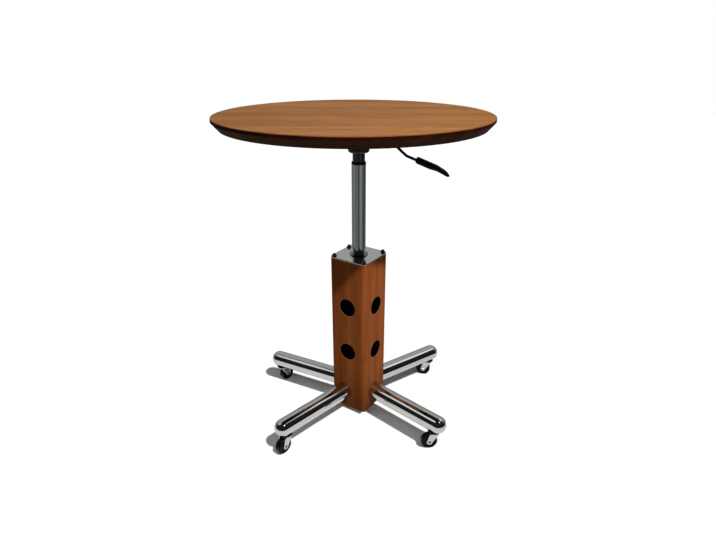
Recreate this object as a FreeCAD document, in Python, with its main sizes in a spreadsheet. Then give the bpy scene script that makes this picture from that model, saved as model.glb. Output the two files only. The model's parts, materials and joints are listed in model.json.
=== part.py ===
import FreeCAD, Part
import math
import os
from types import SimpleNamespace

import Sketcher
from FreeCAD import Vector

# A round table on a gas spring. A square wood post on four castored tube legs holds a chrome
# sleeve; the gas spring's tube slides and turns in the sleeve and carries the top.
#
# Frame: origin on the floor under the middle of the top, +X to the right (the lever's side),
# +Y to the back, +Z up. Lengths are in millimetres and angles in degrees.

SIZES = {
    # round top
    "top_radius": 300.0,
    "top_thick": 23.0,
    "rim_band": 7.0,            # upright part of the edge, above the bevel
    "rim_undercut": 14.0,       # how far the bevel runs in under the edge
    "rim_round": 1.5,
    "pole_shift": 11.0,         # the pole stands this far to the right of the top's middle
    # mounting plate and its screws
    "plate_side": 150.0,
    "plate_thick": 3.0,
    "plate_corner": 10.0,
    "plate_screw_spacing": 124.0,
    "screw_radius": 2.2,
    "screw_length": 15.0,       # what stands in the wood
    "screw_head_radius": 4.5,
    "screw_head_height": 2.8,
    "screw_head_flat": 3.15,    # radius of the head's flat
    "screw_head_edge": 1.4,
    # pressed housing of the lever
    "housing_back": 30.0,       # from the pole's axis to the closed end
    "housing_front": 40.0,      # from the pole's axis to the slotted end
    "housing_width": 56.0,
    "housing_depth": 42.0,
    "housing_wall": 2.5,
    "housing_corner": 6.0,
    "housing_edge": 2.0,
    "slot_width": 10.0,
    # tapered socket on the gas spring
    "socket_radius": 18.0,
    "socket_flange": 24.0,
    "socket_drop": 15.0,        # flange height below the housing
    "socket_round": 5.0,
    "taper_length": 38.0,
    "taper": 1.0,               # loss of radius along the taper
    # release lever
    "rod_radius": 3.2,
    "rod_tail": 8.0,            # reach past the pole's axis
    "rod_flat": 46.0,           # pole's axis to the first bend
    "rod_drop_run": 80.7,
    "rod_drop_angle": 42.0,
    "rod_end_run": 64.0,
    "rod_end_angle": 23.0,
    "rod_bend": 16.0,
    "pivot_reach": 26.0,        # pole's axis to the lever's pin
    "pivot_drop": 8.0,          # pin below the rod's axis
    "pivot_radius": 2.5,
    "pivot_boss": 5.5,
    "pivot_boss_width": 24.0,
    "pivot_head": 4.0,
    "pivot_head_thick": 1.5,
    # paddle on the lever
    "grip_start": 25.0,         # second bend to the paddle's butt
    "grip_length": 83.5,
    "grip_width": 28.0,
    "grip_top": 8.0,
    "grip_bottom": 6.3,
    "grip_waist": 4.0,
    "grip_droop": 7.0,
    "grip_belly_end": 35.0,     # places along the paddle, from its butt
    "grip_flat_end": 50.0,
    "grip_waist_start": 48.5,
    "grip_waist_end": 62.0,
    "grip_shoulder": 69.5,
    "grip_tip_over": 79.5,
    "grip_tip_under": 80.0,
    "grip_waist_drop": 1.0,     # drops of its outline towards the tip
    "grip_shoulder_drop": 3.2,
    "grip_nose_drop": 2.8,
    "grip_tip_drop": 6.6,
    "grip_round": 3.0,
    "grip_tip_round": 11.0,
    # gas spring
    "tube_radius": 14.0,
    "tube_wall": 2.0,
    "neck_length": 20.0,        # bare tube seen at the lowest setting
    "stroke_length": 180.0,
    "button_radius": 4.0,
    "button_height": 4.5,       # stands out of the tube's top
    "button_length": 20.5,
    "button_bevel": 1.6,
    "button_seat": 20.0,        # solid top end of the tube
    "spring_rod_radius": 5.0,
    "spigot_radius": 4.0,
    "guide_height": 20.0,       # seal and guide at the tube's foot
    "piston_height": 15.0,
    "piston_margin": 5.0,
    "buffer_height": 24.4,
    "buffer_radius": 11.0,
    "race_radius": 12.0,
    "race_thick": 2.0,
    "ball_radius": 1.5,
    "ball_ring_radius": 8.5,
    "clip_radius": 7.0,
    "clip_thick": 1.2,
    "spigot_end": 1.2,
    # chrome sleeve
    "sleeve_radius": 16.5,
    "sleeve_wall": 1.5,
    "sleeve_rise": 217.5,       # above the post's top plate
    "sleeve_depth": 313.0,      # below it, inside the post
    "base_thick": 4.0,
    "bush_length": 60.0,
    "bush_flange": 5.5,
    "bush_bevel": 1.6,
    "collar_radius": 22.0,
    "collar_height": 3.0,
    "collar_bevel": 1.0,
    # square post
    "column_side": 102.0,
    "column_height": 419.0,
    "column_corner": 11.0,
    "column_turn_angle": -33.6,  # where the front right face looks, from +X
    "column_bore": 18.0,
    "column_below_legs": 49.0,  # leg axis to the post's foot
    "cap_radius": 22.5,
    "cap_bore_depth": 8.0,
    "cap_thick": 7.0,
    "cap_round": 1.0,
    "lower_cap_height": 171.0,  # above the post's foot
    "cap_spacing": 125.7,
    # post's top plate
    "top_plate_thick": 3.0,
    "top_plate_corner": 11.0,
    "nut_spacing": 84.0,
    "back_nut_in": 45.0,        # the back nut's place, off its corner, clear of the sleeve
    "back_nut_along": 24.0,
    "stud_radius": 3.0,
    "stud_depth": 70.0,
    "nut_washer_radius": 6.2,
    "nut_washer_thick": 1.2,
    "nut_hex_radius": 5.4,
    "nut_hex_height": 2.6,
    "nut_dome_radius": 3.6,
    "nut_bore_depth": 4.6,
    # foot of the post
    "foot_plate_side": 84.0,
    "foot_plate_thick": 4.0,
    "foot_plate_corner": 0.5,
    "foot_screw_spacing": 68.0,
    "hub_radius": 38.0,
    "hub_wall": 7.0,
    "hub_above_legs": 26.0,     # leg axis to the hub's top edge
    # tube legs
    "leg_radius": 21.2,
    "leg_wall": 2.0,
    "leg_reach": 255.0,         # pole's axis to the middle of the round end
    "leg_front_left_angle": 225.0,  # directions, from +X
    "leg_front_right_angle": 318.0,
    "leg_back_right_angle": 34.0,
    "leg_back_left_angle": 154.0,
    "leg_plate_start": 38.0,
    "leg_plate_thick": 6.0,
    "leg_bolt_radius": 4.0,
    "leg_bolt_end": 48.0,
    "leg_bolt_head_radius": 6.5,
    "leg_bolt_head": 5.5,
    # castors
    "castor_inset": 8.0,        # swivel's axis to the middle of the leg's round end
    "castor_trail": 12.0,
    "wheel_radius": 20.0,
    "wheel_width": 16.0,
    "wheel_round": 3.0,
    "wheel_rim": 6.0,           # tread's depth, down to the dished side
    "wheel_hub_radius": 7.0,
    "wheel_hub_step": 0.45,
    "wheel_dish": 2.0,
    "axle_radius": 3.0,
    "axle_head_radius": 4.2,
    "axle_head": 1.4,
    "fork_gap": 0.75,           # wheel's side to cheek
    "fork_wall": 2.0,
    "fork_end_radius": 7.0,
    "fork_back": 11.5,
    "fork_front": 12.0,
    "crown_above_wheel": 2.5,
    "crown_radius": 13.0,
    "crown_thick": 3.0,
    "cup_radius": 15.5,
    "cup_height": 3.0,
    "cup_bevel": 1.0,
    "stem_radius": 5.0,
    "stem_length": 32.0,        # above the cup
    "stem_head_radius": 8.0,
    "stem_head": 1.5,
    "boss_radius": 9.0,
    "trail_front_left_angle": 230.0,  # where each wheel trails to, from +X
    "trail_front_right_angle": 184.0,
    "trail_back_right_angle": 168.0,
    "trail_back_left_angle": 45.0,
    # clearances
    "running_gap": 0.05,        # shaft in its hole, on the radius
    "side_gap": 0.3,            # faces that pass each other
    "hole_gap": 0.3,            # hole round a fixed part
}

SHEET = "sizes"
BALL_COUNT = 8
LEG_NAMES = ("front_left", "front_right", "back_right", "back_left")


class Size:
    """A number together with the spreadsheet expression that gives it."""

    def __init__(self, value, text=None):
        self.value = float(value)
        self.text = text if text is not None else f"({self.value})"

    def __add__(self, other):
        other = as_size(other)
        return Size(self.value + other.value, f"({self.text} + {other.text})")

    def __sub__(self, other):
        other = as_size(other)
        return Size(self.value - other.value, f"({self.text} - {other.text})")

    def __mul__(self, other):
        other = as_size(other)
        return Size(self.value * other.value, f"({self.text} * {other.text})")

    def __truediv__(self, other):
        other = as_size(other)
        return Size(self.value / other.value, f"({self.text} / {other.text})")

    def __neg__(self):
        return Size(0) - self

    __radd__ = __add__
    __rmul__ = __mul__


def as_size(number):
    return number if isinstance(number, Size) else Size(number)


def cosine(angle):
    return Size(math.cos(math.radians(angle.value)), f"cos({angle.text} * 1 deg)")


def sine(angle):
    return Size(math.sin(math.radians(angle.value)), f"sin({angle.text} * 1 deg)")


def other_leg(longest, leg):
    """The remaining side of a right triangle."""
    square = longest * longest - leg * leg
    return Size(math.sqrt(square.value), f"sqrt({square.text})")


def polar(centre_x, reach, angle):
    """The point at a reach and an angle about an upright axis that stands on the X axis."""
    return centre_x + reach * cosine(angle), reach * sine(angle)


def turned_point(centre_x, u, v, angle):
    """The point (u, v) of a frame turned about an upright axis that stands on the X axis."""
    x = centre_x + u * cosine(angle) - v * sine(angle)
    return x, u * sine(angle) + v * cosine(angle)


doc = FreeCAD.newDocument("pedestal_table")
sheet = doc.addObject("Spreadsheet::Sheet", SHEET)
for row, (alias, number) in enumerate(SIZES.items(), start=1):
    sheet.set(f"A{row}", alias)
    sheet.set(f"B{row}", str(number))
    sheet.setAlias(f"B{row}", alias)
doc.recompute()

S = SimpleNamespace(**{alias: Size(number, f"{SHEET}.{alias}") for alias, number in SIZES.items()})
ZERO = Size(0)
nodes = []


# Heights, each worked out from the floor up. Names ending in _z are heights above the floor.

pole = S.pole_shift
axle_z = S.wheel_radius
crown_z = axle_z + S.wheel_radius + S.crown_above_wheel
cup_z = crown_z + S.crown_thick + S.side_gap
castor_reach = S.leg_reach - S.castor_inset
leg_z = cup_z + S.cup_height + S.leg_radius
foot_z = leg_z - S.column_below_legs
hub_z = foot_z + S.foot_plate_thick
column_top_z = foot_z + S.column_height
top_plate_z = column_top_z + S.top_plate_thick
sleeve_foot_z = top_plate_z - S.sleeve_depth
sleeve_top_z = top_plate_z + S.sleeve_rise
socket_z = sleeve_top_z + S.bush_flange + S.neck_length
housing_z = socket_z + S.socket_drop
plate_z = housing_z + S.housing_depth
top_z = plate_z + S.plate_thick
tube_top_z = socket_z + S.taper_length
rod_z = tube_top_z + S.button_height + S.side_gap + S.rod_radius
lower_race_z = sleeve_foot_z + S.base_thick
balls_z = lower_race_z + S.race_thick + S.side_gap
upper_race_z = balls_z + S.ball_radius * 2
shoulder_z = upper_race_z + S.race_thick
tube_foot_z = shoulder_z + S.buffer_height + S.side_gap
piston_z = tube_foot_z + S.stroke_length + S.guide_height + S.piston_margin


# Building blocks.

def bind(feature, name, size):
    """Give a property its present value and the expression that keeps it."""
    feature.setExpression(name, as_size(size).text)


def place(feature, x=ZERO, y=ZERO, z=ZERO, turn=ZERO):
    """Stand a feature at a point, turned about the vertical."""
    spot = f"vector({as_size(x).text}; {as_size(y).text}; {as_size(z).text})"
    feature.setExpression("Placement", f"placement({spot}; rotation(vector(0; 0; 1); {turn.text}))")
    return feature


def node(feature, label):
    """Register a finished sub-part under the name of its file."""
    feature.Label = label
    nodes.append(feature)
    return feature


def new_body(name):
    return doc.addObject("PartDesign::Body", name)


def new_sketch(body, role, offset=None):
    """A sketch on one of a body's own origin planes, moved along the plane's normal."""
    plane = next(f for f in body.Origin.OriginFeatures if f.Role == role)
    sketch = body.newObject("Sketcher::SketchObject", "sketch")
    sketch.AttachmentSupport = (plane, "")
    sketch.MapMode = "FlatFace"
    if offset is not None:
        bind(sketch, ".AttachmentOffset.Base.z", offset)
    return sketch


def hold(sketch, geometry, vertex, x, y):
    """Fix a sketch point by its two distances from the origin."""
    for kind, size, axis in (("DistanceX", as_size(x), -2), ("DistanceY", as_size(y), -1)):
        if size.text == ZERO.text:
            sketch.addConstraint(Sketcher.Constraint("PointOnObject", geometry, vertex, axis))
        else:
            rule = Sketcher.Constraint(kind, -1, 1, geometry, vertex, size.value)
            bind(sketch, f"Constraints[{sketch.addConstraint(rule)}]", size)


def draw_outline(sketch, points):
    """A closed polygon with every corner held."""
    corners = [Vector(as_size(x).value, as_size(y).value, 0) for x, y in points]
    count = len(corners)
    first = sketch.GeometryCount
    for i in range(count):
        sketch.addGeometry(Part.LineSegment(corners[i], corners[(i + 1) % count]), False)
    for i, (x, y) in enumerate(points):
        after = first + (i - 1) % count
        sketch.addConstraint(Sketcher.Constraint("Coincident", after, 2, first + i, 1))
        hold(sketch, first + i, 1, x, y)


def draw_circle(sketch, x, y, radius):
    centre = Vector(as_size(x).value, as_size(y).value, 0)
    circle = sketch.addGeometry(Part.Circle(centre, Vector(0, 0, 1), radius.value), False)
    hold(sketch, circle, 3, x, y)
    rule = sketch.addConstraint(Sketcher.Constraint("Radius", circle, radius.value))
    bind(sketch, f"Constraints[{rule}]", radius)


def rectangle(x1, y1, x2, y2):
    return [(x1, y1), (x2, y1), (x2, y2), (x1, y2)]


def revolve(body, points, role="XZ_Plane", axis="V_Axis"):
    """Turn an outline about one axis of its sketch."""
    sketch = new_sketch(body, role)
    draw_outline(sketch, points)
    feature = body.newObject("PartDesign::Revolution", "turned")
    feature.Profile = sketch
    feature.ReferenceAxis = (sketch, [axis])
    feature.Angle = 360
    return feature


def pad(body, sketch, length, reverse=False):
    feature = body.newObject("PartDesign::Pad", "pad")
    feature.Profile = sketch
    feature.Reversed = reverse
    bind(feature, "Length", length)
    return feature


def pocket(body, sketch, depth, reverse=False):
    feature = body.newObject("PartDesign::Pocket", "pocket")
    feature.Profile = sketch
    feature.Reversed = reverse
    bind(feature, "Length", depth)
    return feature


def fillet(body, radius, chosen):
    """Round the edges of a body's last feature that a test picks."""
    doc.recompute()
    tip = body.Tip
    names = [f"Edge{i}" for i, edge in enumerate(tip.Shape.Edges, start=1) if chosen(edge)]
    feature = body.newObject("PartDesign::Fillet", "rounded")
    feature.Base = (tip, names)
    bind(feature, "Radius", radius)
    return feature


def is_upright(edge):
    """True for a straight edge along Z."""
    first, last = edge.Vertexes[0].Point, edge.Vertexes[-1].Point
    return abs(first.x - last.x) < 1e-6 and abs(first.y - last.y) < 1e-6 and edge.Length > 1e-6


def is_level_at(edge, height):
    """True for an edge that lies wholly at one height."""
    return all(abs(vertex.Z - height) < 1e-4 for vertex in edge.Vertexes)


def is_ring(edge, radius):
    """True for a full circle of one radius."""
    circle = isinstance(edge.Curve, Part.Circle)
    return circle and abs(edge.Curve.Radius - radius.value) < 1e-6


def turned(name, points, role="XZ_Plane", axis="V_Axis"):
    """A body made by one revolution: points are (radius, height) on the upright axis."""
    body = new_body(name)
    revolve(body, points, role, axis)
    return body


def ring(name, inner, outer, height):
    return turned(name, rectangle(inner, ZERO, outer, height))


def squares_corners(spacing):
    """The four corners of a square of holes, about its middle."""
    half = spacing / 2
    return [(half, half), (-half, half), (-half, -half), (half, -half)]


def nut_places():
    """The nuts' places on the post's end: three in the corners, the back one shifted."""
    right, _, left, front = squares_corners(S.nut_spacing)
    return [right, (-S.back_nut_in, S.back_nut_along), left, front]


def rounded_plate(name, side, thick, corner, hole_radius, screw_places, screw_radius):
    """A square plate with round corners, screw holes and, where asked, a middle hole."""
    body = new_body(name)
    blank = new_sketch(body, "XY_Plane")
    draw_outline(blank, rectangle(-(side / 2), -(side / 2), side / 2, side / 2))
    pad(body, blank, thick)
    fillet(body, corner, is_upright)
    holes = new_sketch(body, "XY_Plane", thick)
    for x, y in screw_places:
        draw_circle(holes, x, y, screw_radius)
    if hole_radius is not None:
        draw_circle(holes, ZERO, ZERO, hole_radius)
    pocket(body, holes, thick)
    return body


def group(label, features):
    """Several separate solids that share one file."""
    compound = doc.addObject("Part::Compound", label)
    compound.Links = features
    return node(compound, label)


def cylinder(name, radius, height):
    feature = doc.addObject("Part::Cylinder", name)
    bind(feature, "Radius", radius)
    bind(feature, "Height", height)
    return feature


def fuse(name, features):
    feature = doc.addObject("Part::MultiFuse", name)
    feature.Shapes = features
    return feature


def cut(name, base, tool):
    feature = doc.addObject("Part::Cut", name)
    feature.Base = base
    feature.Tool = tool
    return feature


# The top.

def make_tabletop():
    """Round top: an upright band over a bevel that runs in underneath, and pilot holes."""
    body = turned("tabletop", [
        (ZERO, ZERO),
        (S.top_radius - S.rim_undercut, ZERO),
        (S.top_radius, S.top_thick - S.rim_band),
        (S.top_radius, S.top_thick),
        (ZERO, S.top_thick),
    ])
    fillet(body, S.rim_round, lambda edge: is_level_at(edge, S.top_thick.value))
    pilots = new_sketch(body, "XY_Plane")
    for x, y in squares_corners(S.plate_screw_spacing):
        draw_circle(pilots, pole + x, y, S.screw_radius)
    pocket(body, pilots, S.screw_length, reverse=True)
    node(place(body, z=top_z), "tabletop")


def pan_screw(name, through):
    """A pan head screw, head down, its seat at height 0."""
    shank_end = through + S.screw_length
    return turned(name, [
        (ZERO, -S.screw_head_height),
        (S.screw_head_flat, -S.screw_head_height),
        (S.screw_head_radius, -S.screw_head_edge),
        (S.screw_head_radius, ZERO),
        (S.screw_radius, ZERO),
        (S.screw_radius, shank_end - S.screw_radius),
        (ZERO, shank_end),
    ])


def make_mounting_plate():
    places = squares_corners(S.plate_screw_spacing)
    body = rounded_plate("mounting_plate", S.plate_side, S.plate_thick, S.plate_corner,
                         None, places, S.screw_radius)
    node(place(body, pole, z=plate_z), "mounting_plate")
    screws = []
    for x, y in places:
        screw = pan_screw("mounting_screw", S.plate_thick)
        screws.append(place(screw, pole + x, y, plate_z))
    group("mounting_screws", screws)


def make_lever_housing():
    """A pressed box, open at the top, round the socket, with a slot for the lever's rod."""
    wall = S.housing_wall
    half = S.housing_width / 2
    body = new_body("lever_housing")
    blank = new_sketch(body, "XY_Plane")
    draw_outline(blank, rectangle(-S.housing_back, -half, S.housing_front, half))
    pad(body, blank, S.housing_depth)
    fillet(body, S.housing_corner, is_upright)
    fillet(body, S.housing_edge, lambda edge: is_level_at(edge, 0))
    inside = new_sketch(body, "XY_Plane", S.housing_depth)
    draw_outline(inside, rectangle(wall - S.housing_back, wall - half,
                                   S.housing_front - wall, half - wall))
    pocket(body, inside, S.housing_depth - wall)
    neck = new_sketch(body, "XY_Plane", wall)
    draw_circle(neck, ZERO, ZERO, S.socket_radius)
    pocket(body, neck, wall)
    slot_foot = rod_z - S.rod_radius - S.side_gap - housing_z
    slot = new_sketch(body, "YZ_Plane", S.housing_front)
    draw_outline(slot, rectangle(-(S.slot_width / 2), slot_foot,
                                 S.slot_width / 2, S.housing_depth))
    pocket(body, slot, wall)
    pin = new_sketch(body, "XZ_Plane", half)
    draw_circle(pin, S.pivot_reach, rod_z - S.pivot_drop - housing_z, S.pivot_radius)
    pocket(body, pin, S.housing_width)
    node(place(body, pole, z=housing_z), "lever_housing")


def make_tube_socket():
    """The socket: a rounded flange under the housing, a neck in it and a tapered bore."""
    end = S.tube_radius - S.taper
    body = turned("tube_socket", [
        (S.tube_radius, ZERO),
        (S.socket_flange, ZERO),
        (S.socket_flange, S.socket_drop),
        (S.socket_radius, S.socket_drop),
        (S.socket_radius, S.taper_length),
        (end, S.taper_length),
    ])
    fillet(body, S.socket_round, lambda edge: is_ring(edge, S.socket_flange) and is_level_at(edge, 0))
    node(place(body, pole, z=socket_z), "tube_socket")


# The release lever.

def lever_bends():
    """The rod's corners, from the pole's axis and the rod's own height."""
    first = (S.rod_flat, ZERO)
    second = (first[0] + S.rod_drop_run * cosine(S.rod_drop_angle),
              -(S.rod_drop_run * sine(S.rod_drop_angle)))
    end = (second[0] + S.rod_end_run * cosine(S.rod_end_angle),
           second[1] - S.rod_end_run * sine(S.rod_end_angle))
    return first, second, end


def bearing(centre, point):
    """The direction of a point from a centre, from the sketch's own X axis."""
    return math.atan2(point.y - centre.y, point.x - centre.x)


def draw_bent_path(sketch, corners, radius):
    """Straight runs through the corners, joined by tangent arcs of one radius."""
    spots = [Vector(as_size(x).value, as_size(y).value, 0) for x, y in corners]
    runs, arcs = [], []
    start = spots[0]
    turns_left = []
    for i in range(1, len(spots) - 1):
        back = (spots[i - 1] - spots[i]).normalize()
        ahead = (spots[i + 1] - spots[i]).normalize()
        half_angle = back.getAngle(ahead) / 2
        reach = radius.value / math.tan(half_angle)
        centre = spots[i] + (back + ahead).normalize() * (radius.value / math.sin(half_angle))
        enter, leave = spots[i] + back * reach, spots[i] + ahead * reach
        turns_left.append(ahead.cross(back).z > 0)
        first, last = (enter, leave) if turns_left[-1] else (leave, enter)
        circle = Part.Circle(centre, Vector(0, 0, 1), radius.value)
        arc = Part.ArcOfCircle(circle, bearing(centre, first), bearing(centre, last))
        runs.append(sketch.addGeometry(Part.LineSegment(start, enter), False))
        arcs.append(sketch.addGeometry(arc, False))
        start = leave
    runs.append(sketch.addGeometry(Part.LineSegment(start, spots[-1]), False))
    for i, arc in enumerate(arcs):
        enter_end, leave_end = (1, 2) if turns_left[i] else (2, 1)
        sketch.addConstraint(Sketcher.Constraint("Tangent", runs[i], 2, arc, enter_end))
        sketch.addConstraint(Sketcher.Constraint("Tangent", runs[i + 1], 1, arc, leave_end))
        rule = sketch.addConstraint(Sketcher.Constraint("Radius", arc, radius.value))
        bind(sketch, f"Constraints[{rule}]", radius)
        corner = sketch.addGeometry(Part.Point(spots[i + 1]), True)
        hold(sketch, corner, 1, *corners[i + 1])
        for run in (runs[i], runs[i + 1]):
            sketch.addConstraint(Sketcher.Constraint("PointOnObject", corner, 1, run))
    hold(sketch, runs[0], 1, *corners[0])
    hold(sketch, runs[-1], 2, *corners[-1])
    return [f"Edge{i + 1}" for i in range(len(runs) + len(arcs))]


def make_lever_rod():
    """A bent rod with a boss under it for the pin; its tail lies over the release pin."""
    first, second, end = lever_bends()
    body = new_body("lever_rod")
    path = new_sketch(body, "XZ_Plane")
    edges = draw_bent_path(path, [(-S.rod_tail, ZERO), first, second, end], S.rod_bend)
    section = new_sketch(body, "YZ_Plane", -S.rod_tail)
    draw_circle(section, ZERO, ZERO, S.rod_radius)
    pipe = body.newObject("PartDesign::AdditivePipe", "rod")
    pipe.Profile = section
    pipe.Spine = (path, edges)
    boss = new_sketch(body, "XZ_Plane", -(S.pivot_boss_width / 2))
    draw_circle(boss, S.pivot_reach, -S.pivot_drop, S.pivot_boss)
    pad(body, boss, S.pivot_boss_width)
    bore = new_sketch(body, "XZ_Plane", S.pivot_boss_width / 2)
    draw_circle(bore, S.pivot_reach, -S.pivot_drop, S.pivot_radius + S.running_gap)
    pocket(body, bore, S.pivot_boss_width)
    node(place(body, pole, z=rod_z), "lever_rod")


def make_pivot_pin():
    """The lever's pin, headed over outside both walls of the housing."""
    half = S.housing_width / 2
    tip = half + S.pivot_head_thick
    body = turned("lever_pivot_pin", [
        (-tip, ZERO), (tip, ZERO), (tip, S.pivot_head), (half, S.pivot_head),
        (half, S.pivot_radius), (-half, S.pivot_radius), (-half, S.pivot_head),
        (-tip, S.pivot_head),
    ], "YZ_Plane", "H_Axis")
    node(place(body, pole + S.pivot_reach, z=rod_z - S.pivot_drop), "lever_pivot_pin")


def make_lever_grip():
    """The paddle: a side outline that droops to the tip, trimmed to a round tip in plan."""
    length = S.grip_length
    half = S.grip_width / 2
    side = new_body("grip_side")
    outline = new_sketch(side, "XZ_Plane", -half)
    draw_outline(outline, [
        (ZERO, -S.grip_bottom),
        (S.grip_belly_end, -S.grip_bottom),
        (S.grip_waist_start, -S.grip_waist),
        (S.grip_waist_end, -(S.grip_waist + S.grip_waist_drop)),
        (S.grip_tip_under, -S.grip_droop),
        (length, -S.grip_nose_drop),
        (S.grip_tip_over, S.grip_top - S.grip_tip_drop),
        (S.grip_shoulder, S.grip_top - S.grip_shoulder_drop),
        (S.grip_flat_end, S.grip_top),
        (ZERO, S.grip_top),
    ])
    pad(side, outline, S.grip_width)
    plan = new_body("grip_plan")
    blank = new_sketch(plan, "XY_Plane", -(S.grip_droop + S.grip_bottom))
    draw_outline(blank, rectangle(ZERO, -half, length, half))
    pad(plan, blank, S.grip_droop + S.grip_bottom + S.grip_top * 2)
    fillet(plan, S.grip_tip_round, lambda edge: is_upright(edge) and edge.Vertexes[0].X > 1)
    paddle = doc.addObject("Part::Common", "grip_blank")
    paddle.Base = side
    paddle.Tool = plan
    doc.recompute()
    rounded = doc.addObject("Part::Fillet", "grip_rounded")
    rounded.Base = paddle
    radius = S.grip_round.value
    long_edges = [i for i, edge in enumerate(paddle.Shape.Edges, start=1)
                  if not is_across(edge) and not is_upright(edge)]
    rounded.Edges = [(i, radius, radius) for i in long_edges]
    bore = cylinder("grip_bore", S.rod_radius, S.rod_end_run - S.grip_start)
    bore.Placement = FreeCAD.Placement(Vector(), FreeCAD.Rotation(Vector(0, 1, 0), 90))
    paddle = cut("lever_grip", rounded, bore)
    second = lever_bends()[1]
    x = pole + second[0] + S.grip_start * cosine(S.rod_end_angle)
    z = rod_z + second[1] - S.grip_start * sine(S.rod_end_angle)
    spot = f"vector({x.text}; 0; {z.text})"
    paddle.setExpression(
        "Placement", f"placement({spot}; rotation(vector(0; 1; 0); {S.rod_end_angle.text}))")
    node(paddle, "lever_grip")


def is_across(edge):
    """True for a straight edge along Y."""
    first, last = edge.Vertexes[0].Point, edge.Vertexes[-1].Point
    return abs(first.x - last.x) < 1e-6 and abs(first.z - last.z) < 1e-6


def make_release_pin():
    """The gas spring's button, with a bevelled head, standing out of the tube's top."""
    body = turned("release_pin", [
        (ZERO, ZERO),
        (S.button_radius, ZERO),
        (S.button_radius, S.button_length - S.button_bevel),
        (S.button_radius - S.button_bevel, S.button_length),
        (ZERO, S.button_length),
    ])
    foot = tube_top_z + S.button_height - S.button_length
    node(place(body, pole, z=foot), "release_pin")


# The gas spring.

def make_pressure_tube():
    """The tube: open at the foot, tapered and closed at the top round the button's bore."""
    inner = S.tube_radius - S.tube_wall
    top = tube_top_z - tube_foot_z
    body = turned("pressure_tube", [
        (inner, ZERO),
        (S.tube_radius, ZERO),
        (S.tube_radius, top - S.taper_length),
        (S.tube_radius - S.taper, top),
        (S.button_radius + S.running_gap, top),
        (S.button_radius + S.running_gap, top - S.button_seat),
        (inner, top - S.button_seat - S.tube_wall),
    ])
    node(place(body, pole, z=tube_foot_z), "pressure_tube")
    guide = ring("rod_guide", S.spring_rod_radius + S.running_gap, inner, S.guide_height)
    node(place(guide, pole, z=tube_foot_z), "rod_guide")


def make_piston_rod():
    """The rod stands on the thrust bearing by its shoulder; a thin spigot goes through it."""
    shoulder = shoulder_z - sleeve_foot_z
    foot = -(S.side_gap + S.clip_thick + S.spigot_end)
    body = turned("piston_rod", [
        (ZERO, foot),
        (S.spigot_radius, foot),
        (S.spigot_radius, shoulder),
        (S.spring_rod_radius, shoulder),
        (S.spring_rod_radius, piston_z - sleeve_foot_z),
        (ZERO, piston_z - sleeve_foot_z),
    ])
    node(place(body, pole, z=sleeve_foot_z), "piston_rod")
    piston = cylinder("piston", S.tube_radius - S.tube_wall - S.running_gap, S.piston_height)
    node(place(piston, pole, z=piston_z), "piston")
    clip = ring("rod_clip", S.spigot_radius, S.clip_radius, S.clip_thick)
    node(place(clip, pole, z=sleeve_foot_z - S.side_gap - S.clip_thick), "rod_clip")
    stop = ring("stop_buffer", S.spring_rod_radius, S.buffer_radius, S.buffer_height)
    node(place(stop, pole, z=shoulder_z), "stop_buffer")


def make_thrust_bearing():
    """Two flat races with a ring of balls between them."""
    hole = S.spigot_radius + S.running_gap
    lower = ring("thrust_race_lower", hole, S.race_radius, S.race_thick)
    node(place(lower, pole, z=lower_race_z), "thrust_race_lower")
    upper = ring("thrust_race_upper", S.spigot_radius, S.race_radius, S.race_thick)
    node(place(upper, pole, z=upper_race_z), "thrust_race_upper")
    balls = []
    for i in range(BALL_COUNT):
        ball = doc.addObject("Part::Sphere", "thrust_ball")
        bind(ball, "Radius", S.ball_radius)
        x, y = polar(pole, S.ball_ring_radius, Size(360 * i / BALL_COUNT))
        balls.append(place(ball, x, y, balls_z + S.ball_radius))
    group("thrust_balls", balls)


# The sleeve in the post.

def make_sleeve():
    inner = S.sleeve_radius - S.sleeve_wall
    sleeve = ring("outer_sleeve", inner, S.sleeve_radius, S.sleeve_depth + S.sleeve_rise)
    node(place(sleeve, pole, z=sleeve_foot_z), "outer_sleeve")
    base = ring("sleeve_base", S.spigot_radius + S.running_gap, inner, S.base_thick)
    node(place(base, pole, z=sleeve_foot_z), "sleeve_base")
    tube_hole = S.tube_radius + S.running_gap
    bush = turned("guide_bush", [
        (tube_hole, ZERO),
        (inner, ZERO),
        (inner, S.bush_length),
        (S.sleeve_radius, S.bush_length),
        (S.sleeve_radius, S.bush_length + S.bush_flange - S.bush_bevel),
        (S.sleeve_radius - S.bush_bevel, S.bush_length + S.bush_flange),
        (tube_hole, S.bush_length + S.bush_flange),
    ])
    node(place(bush, pole, z=sleeve_top_z - S.bush_length), "guide_bush")
    collar = turned("sleeve_collar", [
        (S.sleeve_radius, ZERO),
        (S.collar_radius, ZERO),
        (S.collar_radius, S.collar_height - S.collar_bevel),
        (S.collar_radius - S.collar_bevel, S.collar_height),
        (S.sleeve_radius, S.collar_height),
    ])
    node(place(collar, pole, z=top_plate_z), "sleeve_collar")


# The square post.

def make_column_top_plate():
    body = rounded_plate("column_top_plate", S.column_side, S.top_plate_thick,
                         S.top_plate_corner, S.sleeve_radius, nut_places(), S.stud_radius)
    node(place(body, pole, z=column_top_z, turn=S.column_turn_angle), "column_top_plate")


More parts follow.
